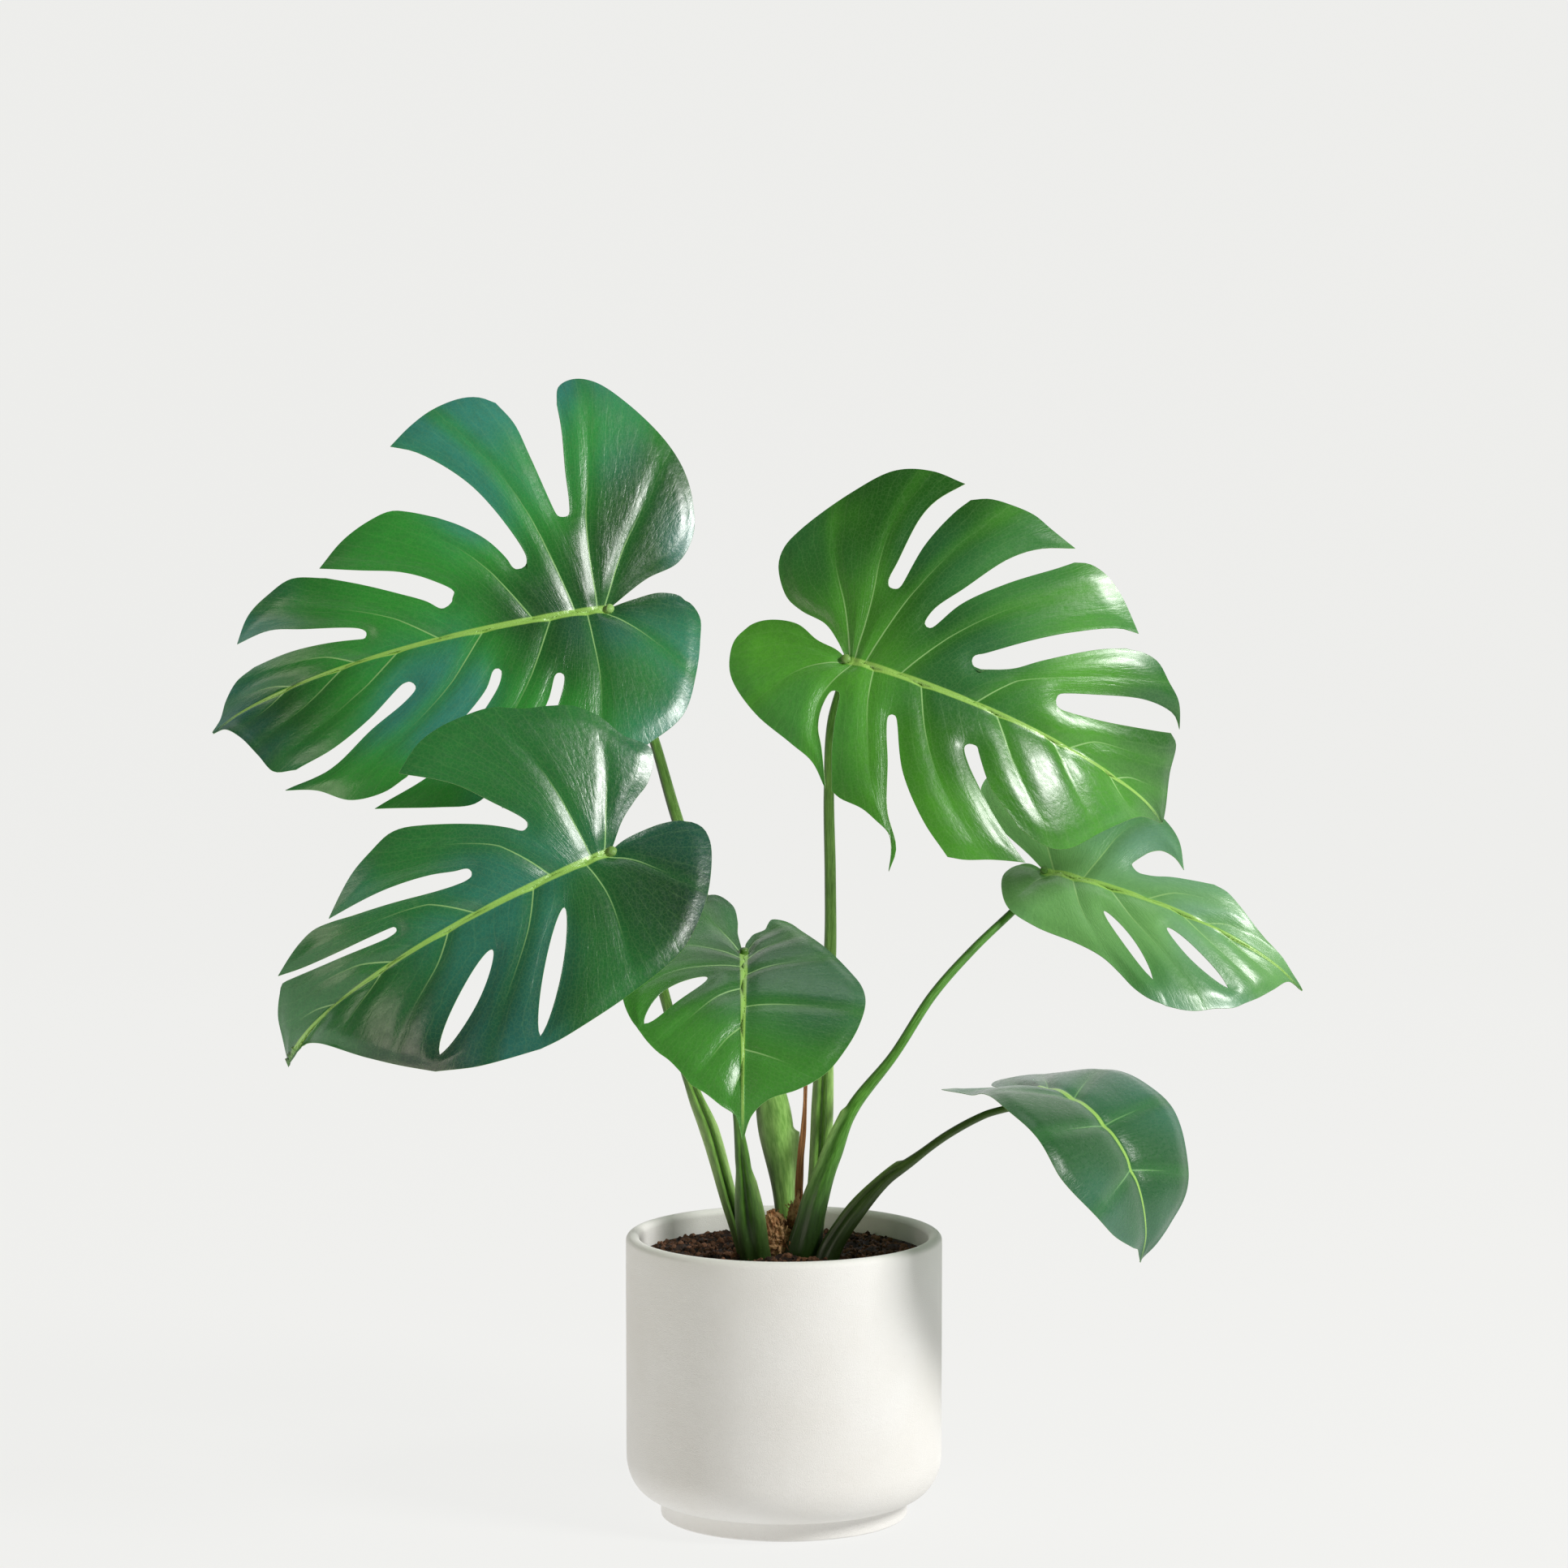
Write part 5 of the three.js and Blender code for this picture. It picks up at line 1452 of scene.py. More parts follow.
@dataclass
class Stalk:
    """One leaf stalk: a sheath at its foot, a round shaft and a thicker knee below the blade.

    points run from the soil upwards, with heights above it. groove holds the share
    of the way, the depth and the side that it lies on; wings the share of the way
    and how far the sheath stands out on the left and the right.
    """

    shape: LeafShape
    points: Rows
    sizes: Rows
    faces: tuple[float, float, float]
    groove: Rows
    wings: Rows
    finish: StalkFinish
    knee: float = 0.3
    knee_drop: float = 13.0
    knee_reach: float = 9.0
    neck_drop: float = 10.2
    seat_drop: float = 0.9
    groove_width: float = 0.36
    fold_width: float = 0.2
    steps: int = 240
    sides: int = 56

    def route(self) -> np.ndarray:
        """Returns the stalk's line, which ends square on the blade's underside."""
        top = self.shape.place(np.zeros((1, 2)))[0]
        neck, end = top - self.shape.up * self.neck_drop, top - self.shape.up * self.seat_drop
        return np.vstack([buried(self.points), neck, end])

    def stand(self, t: np.ndarray, sideways: np.ndarray) -> np.ndarray:
        """Returns how far the sheath stands out on the side that the sign of sideways tells."""
        share, left, right = np.array(self.wings).T
        return np.where(sideways > 0, np.interp(t, share, right), np.interp(t, share, left))

    def section(self, t: np.ndarray, angle: np.ndarray, half: np.ndarray) -> tuple[np.ndarray, np.ndarray]:
        """Gives the places round the stalk, with its groove, wings and knee.

        Args:
            t: Shares of the way up.
            angle: Angles round the stalk.
            half: Half the width and half the thickness at each share.

        Returns:
            The sideways and the outward places.
        """
        depth, side = eased(self.groove, t, 1), eased(self.groove, t, 2)
        c, s = np.cos(angle), np.sin(angle)
        wing = self.stand(t, c)
        down = (1 - t) * self.length
        swell = 1 + self.knee * np.exp(-(((down - self.knee_drop) / self.knee_reach) ** 2))
        swell = swell + 0.012 * np.sin(down * 2.4) * np.exp(-((down / 26) ** 2))
        ribs = 1 + 0.012 * np.sin(angle * 14 + 3 * np.sin(t * 9))
        x = half[0] * c * swell * ribs + wing * c * np.abs(c) ** 5
        front = s > 0
        dip = front * depth * np.exp(-(((c - side) / self.groove_width) ** 2)) * np.sqrt(np.abs(s))
        y = half[1] * swell * ribs * (s - dip)
        return x, y

    def build(self) -> None:
        """Makes and dresses the stalk."""
        route = self.route()
        self.length = SmoothLine(route).length
        sweep = Sweep(route, self.sizes, self.faces, self.steps, self.sides)
        points, faces, layers = sweep.skin(self.section)
        shares = np.repeat(np.linspace(0, 1, self.steps + 1), self.sides)
        angle = np.tile(np.linspace(0, 2 * np.pi, self.sides, endpoint=False), self.steps + 1)
        stand = self.stand(shares, np.cos(angle))
        down = (1 - shares) * self.length
        wing = np.clip(stand / 2, 0, 1) * np.abs(np.cos(angle)) ** 4 + 0.5 * np.exp(
            -(((down - 12) / 12) ** 2)
        )
        layers["wing"] = np.concatenate([np.clip(wing, 0, 1), [0.0, 0.0]])
        # fold marks where the finish paints shade into the groove.
        depth, side = eased(self.groove, shares, 1), eased(self.groove, shares, 2)
        fold = depth * np.exp(-(((np.cos(angle) - side) / self.fold_width) ** 2)) * (np.sin(angle) > 0)
        layers["fold"] = np.concatenate([np.clip(fold, 0, 1), [0.0, 0.0]])
        piece = new_piece(f"stem_{self.shape.name}", points, faces, layers)
        declare(piece, f"stalk_{self.shape.name}", self.finish.material())


# ---------------------------------------------------------------- light and camera


@dataclass(frozen=True)
class Lamp:
    """A soft rectangular light that looks at the plant."""

    name: str
    place: tuple[float, float, float]
    size: tuple[float, float]
    power: float
    colour: str
    target: tuple[float, float, float] = (0.0, 0.0, 0.42)

    def build(self) -> None:
        """Makes the light."""
        data = bpy.data.lights.new(self.name, "AREA")
        data.shape = "RECTANGLE"
        data.size, data.size_y = self.size
        data.energy = self.power
        data.color = linear(self.colour)[:3]
        lamp = bpy.data.objects.new(self.name, data)
        lamp.location = self.place
        lamp.rotation_euler = (Vector(self.target) - Vector(self.place)).to_track_quat("-Z", "Y").to_euler()
        bpy.context.scene.collection.objects.link(lamp)


@dataclass
class Studio:
    """Pale sweep, soft lights and the camera."""

    lens: float = 117.065
    camera_place: tuple[float, float, float] = (0.0, -3.5, 0.86)
    tilt_down: float = 5.679
    sweep_half_width: float = 20.0
    sweep_front: float = -6.0
    sweep_back: float = 4.5
    sweep_round: float = 2.0
    sweep_height: float = 5.0
    sweep_steps: int = 24
    far_clip: float = 60.0
    paper: str = "eeeeec"
    paper_tint: str = "4a4a49"
    paper_glow: float = 0.955
    fill: float = 0.12
    fill_colour: str = "f0eee8"
    lamps: tuple[Lamp, ...] = (
        Lamp("key", (2.5, -1.35, 2.25), (0.9, 0.9), 110.0, "fefdfb"),
        Lamp("window", (-2.3, -1.8, 0.9), (1.0, 1.5), 14.0, "f6ecda"),
        Lamp("top", (0.2, 0.8, 2.6), (1.6, 0.8), 5.5, "f6f8fa"),
    )

    def sweep(self) -> None:
        """Makes the floor, which curves up into the backdrop."""
        rows = [(self.sweep_front, 0.0), (self.sweep_back - self.sweep_round, 0.0)]
        for step in range(1, self.sweep_steps + 1):
            a = math.radians(90 * step / self.sweep_steps)
            y = self.sweep_back - self.sweep_round * (1 - math.sin(a))
            rows.append((y, self.sweep_round * (1 - math.cos(a))))
        rows.append((self.sweep_back, self.sweep_height))
        w = self.sweep_half_width
        points = [(x, y, z) for y, z in rows for x in (-w, w)]
        faces = [(2 * i, 2 * i + 1, 2 * i + 3, 2 * i + 2) for i in range(len(rows) - 1)]
        floor = new_piece("studio_sweep", np.array(points) / MM, faces)
        s = Shader("studio_paper")
        grain = s.fade(s.noise(s.place, 3.0), 0.3, 0.7, 0.98, 1.0)
        tint = s.blend(grain, "000000", self.paper_tint)
        floor.data.materials.append(
            s.finish(
                Base_Color=tint, Roughness=0.9, Specular_IOR_Level=0.05, Emission_Color=linear(
                    self.paper
                ), Emission_Strength=self.paper_glow
            )
        )

    def build(self) -> None:
        """Makes the sweep, the lights, the surroundings and the camera."""
        self.sweep()
        for lamp in self.lamps:
            lamp.build()
        world = bpy.data.worlds.new("studio_fill")
        world.use_nodes = True
        sky = world.node_tree.nodes["Background"]
        sky.inputs["Color"].default_value = linear(self.fill_colour)
        sky.inputs["Strength"].default_value = self.fill
        bpy.context.scene.world = world
        bpy.context.scene.view_settings.view_transform = "Standard"
        data = bpy.data.cameras.new("studio_camera")
        data.lens = self.lens
        data.clip_end = self.far_clip
        camera = bpy.data.objects.new("studio_camera", data)
        camera.location = self.camera_place
        camera.rotation_euler = (math.radians(90 - self.tilt_down), 0.0, 0.0)
        bpy.context.scene.collection.objects.link(camera)
        bpy.context.scene.camera = camera


# ---------------------------------------------------------------- leaf outlines

LEAVES = [
    LeafShape(
        name="upper_left", tip=1.03, attach=[-120, 15, 451], yaw=199, pitch=-6, roll=-60, length=300, arch=33, droop=29,
        back=10, fold=[8, 14], curl=[35, 25],
        left=HalfOutline(
            sinus=[[0, 0], [-0.06, -0.012], [-0.13, -0.02], [-0.185, 0]],
            lobes=[
                [
                    [-0.185, 0], [-0.205, 0.05], [-0.19, 0.11], [-0.16, 0.19], [-0.1, 0.295], [0, 0.355], [0.1, 0.4],
                    [0.2, 0.43], [0.3, 0.45], [0.36, 0.44],
                ],
                [[0.37, 0.395], [0.42, 0.415], [0.5, 0.4], [0.64, 0.36]],
                [[0.552, 0.31], [0.61, 0.328], [0.69, 0.32], [0.76, 0.27], [0.838, 0.237]],
                [[0.8, 0.2], [0.858, 0.179], [0.892, 0.121], [0.933, 0.055], [0.98, 0.012], [1.03, 0]],
            ],
            slits=[
                Slit(0.09, [0.155, 0.147], [[0.165, 0.2], [0.25, 0.33]], [[0.2, 0.21], [0.29, 0.32]]),
                Slit(
                    0.22, [0.29, 0.105], [[0.3, 0.15], [0.38, 0.235], [0.48, 0.315]],
                    [[0.33, 0.15], [0.41, 0.22], [0.5, 0.28]],
                ),
                Slit(
                    0.4, [0.485, 0.093], [[0.52, 0.137], [0.6, 0.175], [0.72, 0.235]],
                    [[0.51, 0.087], [0.6, 0.147], [0.7, 0.187]],
                ),
            ],
            veins=[[0.2, 0.6], [0.38], [0.44], [0.16, 0.38, 0.62]],
        ),
        right=HalfOutline(
            sinus=[[0, 0], [-0.1, 0.057], [-0.185, 0.088], [-0.234, 0.152]],
            lobes=[
                [
                    [-0.234, 0.152], [-0.248, 0.235], [-0.243, 0.31], [-0.214, 0.392], [-0.15, 0.49], [-0.085, 0.554],
                    [-0.036, 0.568], [0.003, 0.553], [0.018, 0.508],
                ],
                [[0.155, 0.533], [0.188, 0.554], [0.229, 0.56], [0.296, 0.546], [0.353, 0.517], [0.406, 0.479]],
                [[0.345, 0.281], [0.403, 0.31], [0.44, 0.322], [0.494, 0.312], [0.56, 0.285], [0.625, 0.24]],
                [[0.618, 0.213], [0.693, 0.238], [0.75, 0.223], [0.81, 0.197], [0.863, 0.148]],
                [[0.842, 0.08], [0.9, 0.07], [0.945, 0.045], [0.985, 0.014], [1.03, 0]],
            ],
            slits=[
                Slit(
                    0.04, [0.064, 0.229], [[0.043, 0.26], [0.035, 0.343], [0.022, 0.442]],
                    [[0.08, 0.243], [0.109, 0.392], [0.126, 0.475]],
                ),
                Slit(
                    0.13, [0.184, 0.123], [[0.167, 0.148], [0.18, 0.194], [0.254, 0.343], [0.353, 0.45]],
                    [[0.213, 0.152], [0.246, 0.202], [0.296, 0.248]],
                ),
                Slit(
                    0.29, [0.366, 0.071], [[0.345, 0.1], [0.39, 0.14], [0.45, 0.175], [0.54, 0.207]],
                    [[0.411, 0.092], [0.47, 0.128], [0.544, 0.172]],
                ),
                Slit(
                    0.5, [0.563, 0.053], [[0.575, 0.075], [0.7, 0.117], [0.776, 0.144]],
                    [[0.58, 0.049], [0.65, 0.064], [0.743, 0.077]],
                ),
            ],
            veins=[[0.3, 0.7], [0.44], [0.31], [0.52], [0.19, 0.5]],
        ),
    ),
    LeafShape(
        name="upper_right", tip=1, attach=[42, -10, 418], yaw=-20, pitch=-14, roll=60, length=279, arch=49, droop=32,
        back=10, fold=[10, 10], curl=[25, 30],
        left=HalfOutline(
            sinus=[[0, 0], [-0.036, 0.038], [-0.08, 0.07], [-0.151, 0.086], [-0.2, 0.11], [-0.247, 0.179]],
            lobes=[
                [
                    [-0.247, 0.179], [-0.251, 0.228], [-0.23, 0.282], [-0.143, 0.419], [-0.06, 0.506], [0.031, 0.533],
                    [0.118, 0.526],
                ],
                [[0.147, 0.489], [0.188, 0.508], [0.246, 0.513], [0.304, 0.51], [0.353, 0.493], [0.424, 0.471]],
                [[0.436, 0.435], [0.469, 0.448], [0.51, 0.444], [0.56, 0.419], [0.65, 0.348]],
                [[0.635, 0.295], [0.685, 0.311], [0.726, 0.31], [0.776, 0.282], [0.825, 0.257], [0.871, 0.204]],
                [[0.85, 0.18], [0.885, 0.168], [0.915, 0.1], [0.955, 0.045], [1, 0]],
            ],
            slits=[
                Slit(
                    0.03, [0.051, 0.204], [[0.031, 0.228], [0.035, 0.27], [0.047, 0.402], [0.068, 0.46]],
                    [[0.068, 0.22], [0.084, 0.336], [0.122, 0.444]],
                ),
                Slit(
                    0.09, [0.163, 0.137], [[0.165, 0.19], [0.213, 0.262], [0.287, 0.377], [0.345, 0.431]],
                    [[0.188, 0.158], [0.221, 0.22], [0.304, 0.311], [0.403, 0.402]],
                ),
                Slit(
                    0.24, [0.296, 0.096], [[0.316, 0.125], [0.411, 0.204], [0.486, 0.262], [0.602, 0.336]],
                    [[0.325, 0.085], [0.395, 0.117], [0.453, 0.166], [0.577, 0.262]],
                ),
                Slit(
                    0.47, [0.523, 0.092], [[0.545, 0.123], [0.602, 0.15], [0.743, 0.212], [0.834, 0.224]],
                    [[0.55, 0.077], [0.66, 0.104], [0.792, 0.154]],
                ),
            ],
            veins=[[0.3, 0.7], [0.3], [0.33], [0.43], [0.25, 0.55]],
        ),
        right=HalfOutline(
            sinus=[[0, 0], [-0.03, -0.014], [-0.085, -0.024], [-0.15, -0.05], [-0.226, -0.04], [-0.267, -0.013]],
            lobes=[
                [
                    [-0.267, -0.013], [-0.286, 0.028], [-0.28, 0.078], [-0.251, 0.136], [-0.151, 0.214],
                    [-0.036, 0.264], [0.031, 0.293], [0.088, 0.35],
                ],
                [
                    [0.105, 0.35], [0.13, 0.361], [0.188, 0.368], [0.229, 0.384], [0.271, 0.405], [0.291, 0.442],
                    [0.304, 0.492],
                ],
                [[0.42, 0.4], [0.461, 0.388], [0.519, 0.359], [0.6, 0.325]],
                [[0.552, 0.252], [0.602, 0.262], [0.651, 0.258], [0.693, 0.235], [0.776, 0.136], [0.883, 0.04], [1, 0]],
            ],
            slits=[
                Slit(
                    0.03, [0.014, 0.093], [[-0.002, 0.152], [0.01, 0.202], [0.039, 0.252]],
                    [[0.031, 0.111], [0.043, 0.169], [0.064, 0.243]],
                ),
                Slit(
                    0.14, [0.166, 0.107], [[0.172, 0.161], [0.2, 0.227], [0.246, 0.351], [0.3, 0.434]],
                    [[0.188, 0.127], [0.246, 0.243], [0.337, 0.343]],
                ),
                Slit(
                    0.31, [0.374, 0.103], [[0.358, 0.119], [0.378, 0.152], [0.478, 0.248], [0.577, 0.314]],
                    [[0.395, 0.115], [0.453, 0.19], [0.502, 0.223]],
                ),
            ],
            veins=[[0.35, 0.75], [0.41], [0.35], [0.13, 0.36, 0.62]],
        ),
    ),
    LeafShape(
        name="middle_left", tip=1.02, attach=[-114, -130, 299], yaw=207, pitch=-18, roll=-56, length=297, arch=44,
        droop=49, back=10, fold=[8, 14], curl=[30, 25],
        left=HalfOutline(
            sinus=[[0, 0], [-0.036, -0.01], [-0.085, -0.014], [-0.143, -0.012], [-0.193, 0.001]],
            lobes=[
                [
                    [-0.193, 0.001], [-0.218, 0.03], [-0.218, 0.063], [-0.201, 0.104], [-0.135, 0.195], [-0.036, 0.278],
                    [0.022, 0.303], [0.163, 0.334], [0.312, 0.352], [0.368, 0.35],
                ],
                [[0.368, 0.35], [0.445, 0.332], [0.511, 0.311], [0.592, 0.27]],
                [[0.592, 0.27], [0.66, 0.208], [0.718, 0.15], [0.825, 0.042], [0.9, 0.006], [0.96, 0.004], [1.02, 0]],
            ],
            slits=[
                Slit(
                    foot=0.13, notch=[0.167, 0.08], mid=[0.25, 0.19], close=[0.353, 0.322], exit=[0.368, 0.35],
                    width=0.04,
                ),
                Slit(
                    foot=0.31, notch=[0.353, 0.092], mid=[0.45, 0.166], close=[0.563, 0.241], exit=[0.592, 0.27],
                    width=0.048,
                ),
            ],
            veins=[[0.2, 0.54], [0.39], [0.15, 0.4, 0.66]],
        ),
        right=HalfOutline(
            sinus=[[0, 0], [-0.052, 0.053], [-0.102, 0.086], [-0.151, 0.115], [-0.191, 0.181]],
            lobes=[
                [
                    [-0.191, 0.181], [-0.143, 0.235], [-0.114, 0.293], [-0.069, 0.339], [-0.019, 0.359], [0.039, 0.376],
                    [0.105, 0.409], [0.163, 0.417], [0.229, 0.417], [0.279, 0.405], [0.347, 0.363],
                ],
                [[0.345, 0.227], [0.395, 0.248], [0.428, 0.252], [0.478, 0.239], [0.536, 0.219], [0.631, 0.163]],
                [[0.585, 0.138], [0.631, 0.153], [0.676, 0.163], [0.726, 0.158], [0.813, 0.136]],
                [[0.79, 0.11], [0.817, 0.116], [0.842, 0.103], [0.892, 0.074], [0.941, 0.036], [1.02, 0]],
            ],
            slits=[
                Slit(
                    0.1, [0.155, 0.123], [[0.163, 0.161], [0.196, 0.206], [0.254, 0.285]],
                    [[0.188, 0.136], [0.229, 0.165], [0.287, 0.198]],
                ),
                Slit(
                    0.245, [0.31, 0.088], [[0.34, 0.107], [0.395, 0.127], [0.494, 0.149]],
                    [[0.34, 0.076], [0.395, 0.086], [0.5, 0.115]],
                ),
                Slit(
                    0.44, [0.515, 0.061], [[0.53, 0.07], [0.66, 0.091], [0.75, 0.113]],
                    [[0.54, 0.052], [0.66, 0.076], [0.726, 0.092]],
                ),
            ],
            veins=[[0.16, 0.5], [0.35], [0.49], [0.2, 0.5]],
        ),
    ),
    LeafShape(
        name="centre", tip=1.03, attach=[-27, -90, 228], yaw=-90, pitch=-18, roll=0, length=164, arch=36, droop=30,
        back=-25, fold=[8, 8], curl=[30, 30],
        left=HalfOutline(
            sinus=[
                [0, 0], [-0.06, 0.005], [-0.102, 0.022], [-0.13, 0.038], [-0.16, 0.085], [-0.2, 0.098], [-0.235, 0.115],
            ],
            lobes=[
                [
                    [-0.235, 0.115], [-0.21, 0.18], [-0.12, 0.245], [0.03, 0.34], [0.16, 0.42], [0.29, 0.48],
                    [0.4, 0.496], [0.53, 0.469], [0.66, 0.411], [0.76, 0.336], [0.83, 0.22], [0.87, 0.1], [0.93, 0.035],
                    [1.03, 0],
                ],
            ],
            slits=[], veins=[[0.03, 0.09, 0.2, 0.4, 0.62]],
        ),
        right=HalfOutline(
            sinus=[[0, 0], [-0.073, 0.016], [-0.143, 0.026], [-0.25, 0.028], [-0.36, 0.05]],
            lobes=[
                [
                    [-0.36, 0.05], [-0.43, 0.12], [-0.38, 0.22], [-0.24, 0.32], [-0.08, 0.4], [0.05, 0.45],
                    [0.18, 0.485], [0.3, 0.497], [0.41, 0.483], [0.5, 0.452], [0.555, 0.423],
                ],
                [
                    [0.555, 0.423], [0.61, 0.388], [0.66, 0.345], [0.7, 0.297], [0.76, 0.245], [0.81, 0.206],
                    [0.842, 0.152], [0.892, 0.086], [0.933, 0.028], [1.03, 0],
                ],
            ],
            slits=[
                Slit(
                    foot=0.18, notch=[0.25, 0.148], mid=[0.385, 0.3], close=[0.525, 0.398], exit=[0.555, 0.423],
                    width=0.085,
                ),
            ],
            veins=[[0.12, 0.39, 0.75], [0.13, 0.4, 0.66]],
        ),
    ),
    LeafShape(
        name="middle_right", tip=1.06, attach=[183, 70, 263], yaw=-22, pitch=-10, roll=45, length=199, arch=26,
        droop=26, back=10, fold=[8, 8], curl=[30, 30],
        left=HalfOutline(
            sinus=[[0, 0], [-0.08, 0.05], [-0.2, 0.12], [-0.3, 0.2], [-0.35, 0.29]],
            lobes=[
                [
                    [-0.35, 0.29], [-0.34, 0.36], [-0.27, 0.42], [-0.13, 0.46], [0.04, 0.455], [0.2, 0.41],
                    [0.341, 0.336], [0.411, 0.27], [0.468, 0.164],
                ],
                [
                    [0.585, 0.156], [0.635, 0.151], [0.693, 0.125], [0.759, 0.092], [0.825, 0.067], [0.92, 0.045],
                    [0.99, 0.018], [1.06, 0],
                ],
            ],
            slits=[
                Slit(
                    0.22, [0.303, 0.1], [[0.31, 0.155], [0.337, 0.191], [0.37, 0.209], [0.42, 0.2]],
                    [[0.329, 0.089], [0.378, 0.096], [0.436, 0.117], [0.511, 0.137]],
                ),
            ],
            veins=[[0.18, 0.64], [0.19, 0.46]],
        ),
        right=HalfOutline(
            sinus=[[0, 0], [-0.06, -0.012], [-0.106, 0.007]],
            lobes=[
                [
                    [-0.106, 0.007], [-0.13, 0.06], [-0.102, 0.144], [-0.048, 0.21], [0.064, 0.253], [0.221, 0.275],
                    [0.329, 0.301], [0.403, 0.334], [0.478, 0.372], [0.54, 0.389], [0.6, 0.387],
                ],
                [[0.6, 0.387], [0.65, 0.374], [0.701, 0.351], [0.759, 0.305], [0.817, 0.264], [0.855, 0.212]],
                [[0.855, 0.212], [0.892, 0.161], [0.933, 0.094], [0.985, 0.015], [1.06, 0]],
            ],
            slits=[
                Slit(
                    foot=0.18, notch=[0.267, 0.109], mid=[0.4, 0.21], close=[0.515, 0.305], exit=[0.6, 0.387],
                    width=0.04,
                ),
                Slit(
                    foot=0.385, notch=[0.494, 0.086], mid=[0.63, 0.15], close=[0.767, 0.2], exit=[0.855, 0.212],
                    width=0.05,
                ),
            ],
            veins=[[0.17, 0.6], [0.34], [0.2, 0.46]],
        ),
    ),
    LeafShape(
        name="lower_right", tip=1.02, attach=[166, -20, 123], yaw=-48, pitch=13, roll=10, length=180, arch=130,
        droop=-8, back=-35, fold=[-2, 14], curl=[20, 20],
        left=HalfOutline(
            sinus=[[0, 0], [-0.08, 0.03], [-0.2, 0.05], [-0.28, 0.1]],
            lobes=[
                [
                    [-0.28, 0.1], [-0.31, 0.17], [-0.24, 0.26], [-0.06, 0.34], [0.12, 0.38], [0.28, 0.4], [0.42, 0.405],
                    [0.55, 0.375], [0.68, 0.335], [0.76, 0.3], [0.84, 0.24], [0.91, 0.155], [0.955, 0.08], [1.02, 0],
                ],
            ],
            slits=[], veins=[[0.04, 0.12, 0.25, 0.42, 0.62]],
        ),
        right=HalfOutline(
            sinus=[[0, 0], [-0.1, 0.012], [-0.22, 0.008], [-0.34, 0.03]],
            lobes=[
                [
                    [-0.34, 0.03], [-0.37, 0.08], [-0.3, 0.13], [-0.16, 0.175], [-0.02, 0.243], [0.113, 0.318],
                    [0.246, 0.38], [0.4, 0.405], [0.519, 0.424], [0.569, 0.417], [0.693, 0.339], [0.817, 0.227],
                    [0.908, 0.103], [0.949, 0.036], [1.02, 0],
                ],
            ],
            slits=[], veins=[[0.04, 0.12, 0.25, 0.42, 0.62]],
        ),
    ),
]


# ---------------------------------------------------------------- the plant


def leaf(name: str) -> LeafShape:
    """Returns the leaf of that name."""
    return next(shape for shape in LEAVES if shape.name == name)


BLADES = [
    Blade(
        leaf("upper_left"), "leaf_dark", LeafFinish("leaf_upper_left", "194c1e", "339034", "3a8582", 0.75),
        wave_phase=0.4,
    ),
    Blade(
        leaf("upper_right"), "leaf_bright",
        LeafFinish("leaf_upper_right", "1e5812", "529f2c", "34764e", 0.4, gloss=0.34), wave_phase=1.1,
    ),
    Blade(
        leaf("middle_left"), "leaf_dark", LeafFinish("leaf_middle_left", "0e381a", "2a7434", "347e72", 0.65),
        wave_phase=2.3,
    ),
    Blade(leaf("centre"), "leaf_bright", LeafFinish("leaf_centre", "1f5219", "438c30", "3c7c5c", 0.4), wave_phase=3.0),
    Blade(
        leaf("middle_right"), "leaf_bright",
        LeafFinish("leaf_middle_right", "3a7a38", "6fa85e", "7aa694", 0.7, gloss=0.33), wave_phase=4.2,
    ),
    Blade(
        leaf("lower_right"), "leaf_dark",
        LeafFinish("leaf_lower_right", "24582c", "4a9048", "4c8472", 0.5, vein="6ca262"), wave_phase=5.1,
    ),
]

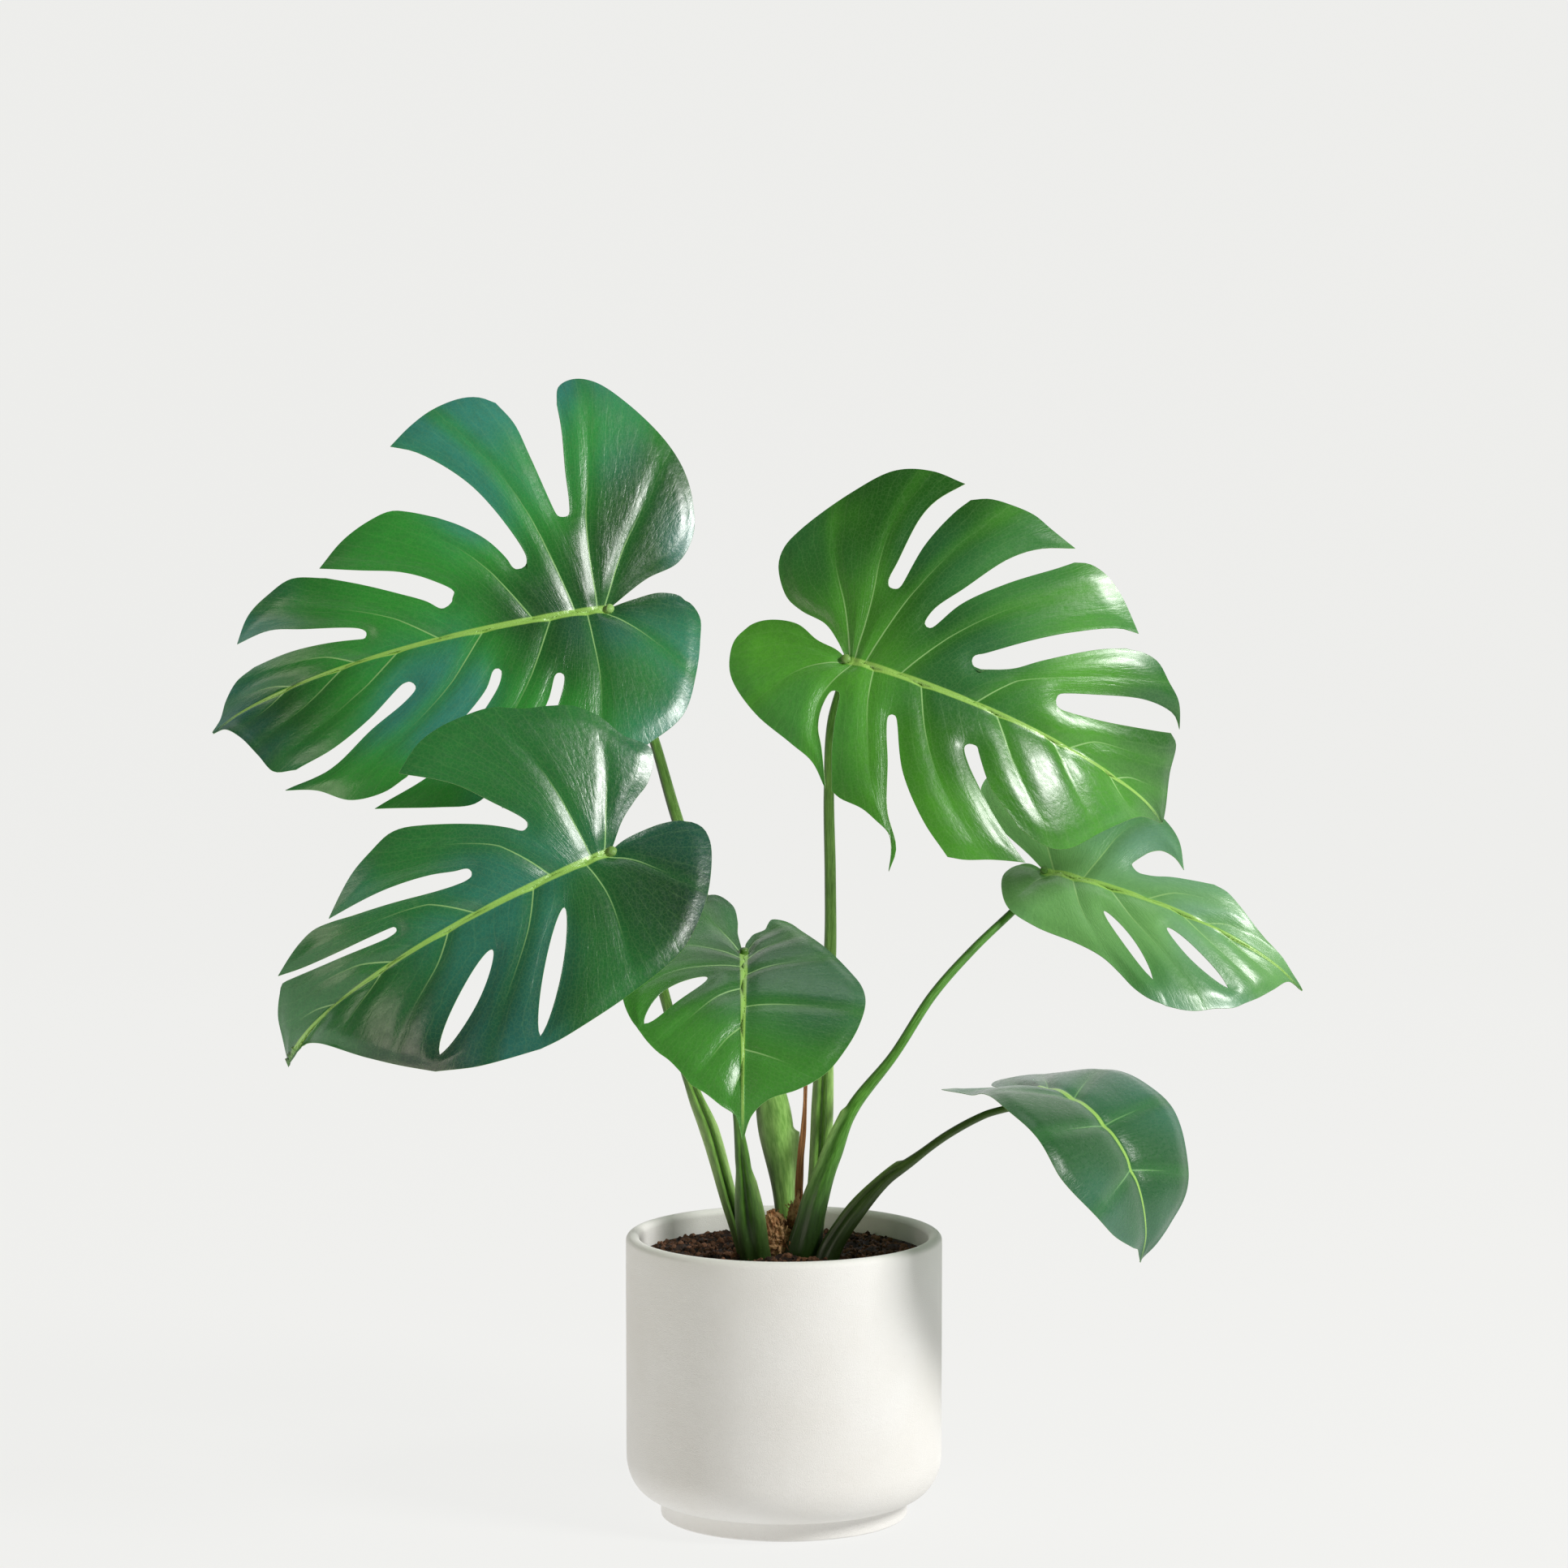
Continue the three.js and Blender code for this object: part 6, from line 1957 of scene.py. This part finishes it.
STALKS = [
    Stalk(
        leaf("upper_left"),
        [
            [4, 13, -1], [1, 14, 27], [-2, 15, 59], [-6, 17, 90], [-12, 19, 124], [-26, 22, 168], [-54, 26, 240],
            [-76, 28, 308], [-91, 30, 360], [-108, 30, 408],
        ],
        [[0, 12, 10], [0.1, 14, 10], [0.22, 24, 9], [0.34, 13, 9], [0.5, 9, 8.5], [1, 6, 6]], (0.15, -1, 0),
        [[0, 0.1, -0.3], [0.1, 0.3, -0.4], [0.2, 0.5, -0.5], [0.3, 0.4, -0.3], [0.45, 0.15, 0], [1, 0, 0]],
        [[0, 0, 0], [0.08, 0, 1], [0.2, 0.8, 4.4], [0.206, 0.8, 0.4], [0.27, 0, 0], [1, 0, 0]],
        StalkFinish("stalk_upper_left", "4f8a28", "a4d672", "d2ecaa", "2a5210", 0.2, foot_shade_share=0.3, flank_shade_share=0.9),
    ),
    Stalk(
        leaf("upper_right"),
        [
            [19, 7, -1], [22, 9, 31], [25, 10, 65], [27, 10, 114], [29, 9, 168], [32, 7, 214], [32, 4, 265],
            [31, 2, 325], [33, 2, 373],
        ],
        [[0, 12, 10], [0.25, 13, 9], [0.4, 10, 8], [0.6, 8, 7.5], [1, 6, 6]], (0, -1, 0),
        [[0, 0.5, -0.1], [0.15, 0.9, -0.1], [0.38, 0.8, -0.05], [0.5, 0.25, 0], [1, 0.1, 0]],
        [[0, 0.5, 0.5], [0.2, 1.2, 1.5], [0.36, 1, 1.2], [0.38, 0, 0], [1, 0, 0]],
        StalkFinish("stalk_upper_right", "3f6f20", "86b854", "c4e098", "2c4a14", 0.3, foot_shade_share=0.3),
    ),
    Stalk(
        leaf("middle_left"),
        [
            [-27, -11, -1], [-30, -12, 14], [-38, -16, 42], [-51, -26, 91], [-65, -38, 130], [-81, -43, 186],
            [-95, -44, 242], [-107, -76, 275], [-114, -105, 288],
        ],
        [[0, 9, 9], [0.3, 10, 8], [0.5, 7.5, 7], [1, 6, 6]], (0.2, -1, 0.2),
        [[0, 0.3, 0.1], [0.12, 1.1, 0.1], [0.36, 0.9, 0.15], [0.46, 0.2, 0], [1, 0, 0]],
        [[0, 0, 0], [0.1, 1, 1.4], [0.3, 1.6, 1.8], [0.36, 1, 0.2], [0.4, 0, 0], [1, 0, 0]],
        StalkFinish("stalk_middle_left", "3e6a20", "84b454", "c0de96", "22400e", 0.35, foot_shade_share=0.85, foot_shade_top=0.245),
    ),
    Stalk(
        leaf("centre"),
        [
            [-19, -33, -1], [-21, -35, 13], [-25, -39, 46], [-29, -46, 81], [-32, -54, 108], [-34, -66, 154],
            [-31, -80, 196],
        ],
        [[0, 21, 13], [0.18, 19, 11], [0.36, 10, 8], [0.5, 6, 6], [1, 5, 5]], (0.1, -1, -0.2),
        [[0, 0.05, -0.2], [0.1, 0.3, -0.2], [0.2, 0.9, -0.15], [0.34, 0.8, -0.1], [0.46, 0.2, 0], [1, 0, 0]],
        [[0, 0, 0.4], [0.15, 0.6, 1.2], [0.3, 1, 1.6], [0.34, 0.4, 0.2], [0.4, 0, 0], [1, 0, 0]],
        StalkFinish("stalk_centre", "2c5612", "5f9632", "a9cb7c", "1d360a", 0.4, foot_shade_share=0.92, foot_shade_top=0.262),
    ),
    Stalk(
        leaf("middle_right"),
        [
            [13, -19, -1], [15, -20, 11], [22, -20, 42], [34, -16, 75], [48, -10, 106], [76, 4, 140], [104, 24, 180],
            [133, 42, 210], [163, 60, 236],
        ],
        [[0, 28, 15], [0.05, 25, 14], [0.14, 18, 11], [0.25, 13, 9], [0.34, 9, 8], [0.5, 6.5, 6.5], [1, 5, 5]],
        (0.1, -1, 0), [[0, 0, -0.6], [0.12, 0.35, -0.6], [0.3, 0.6, -0.55], [0.36, 0.2, -0.4], [1, 0, 0]],
        [[0, 0.6, 0], [0.15, 1.2, 0], [0.34, 2.2, 0], [0.352, 0.2, 0], [1, 0, 0]],
        StalkFinish("stalk_middle_right", "2c5a16", "62a03c", "a6d07a", "1d380c", 0.4, foot_shade_share=0.9, foot_shade_top=0.285),
    ),
    Stalk(
        leaf("lower_right"),
        [[29, -31, -1], [33, -31, 11], [49, -32, 36], [70, -32, 59], [89, -31, 73], [113, -28, 90], [138, -25, 103]],
        [[0, 17, 12], [0.25, 13, 9], [0.45, 8, 6.5], [0.6, 5.5, 5.5], [1, 4.6, 4.6]], (-0.3, -1, 0.4),
        [[0, 0.1, -0.5], [0.2, 0.5, -0.5], [0.42, 0.5, -0.4], [0.5, 0.1, 0], [1, 0, 0]],
        [[0, 0.4, 0], [0.2, 1.4, 0], [0.48, 2, 0], [0.5, 0.2, 0], [1, 0, 0]],
        StalkFinish("stalk_lower_right", "2a3e16", "4c682a", "7c9a54", "1c260e", 0.45, foot_shade_share=0.8, foot_shade_top=0.25),
    ),
]


def main() -> None:
    """Builds the plant piece by piece, then the studio round it."""
    logging.basicConfig(level=logging.INFO, format="%(message)s")
    for part in (Pot(), Soil(), WoodyStem(), DrySheath(), *STALKS, *BLADES):
        part.build()
    Studio().build()


if __name__ == "__main__":
    main()
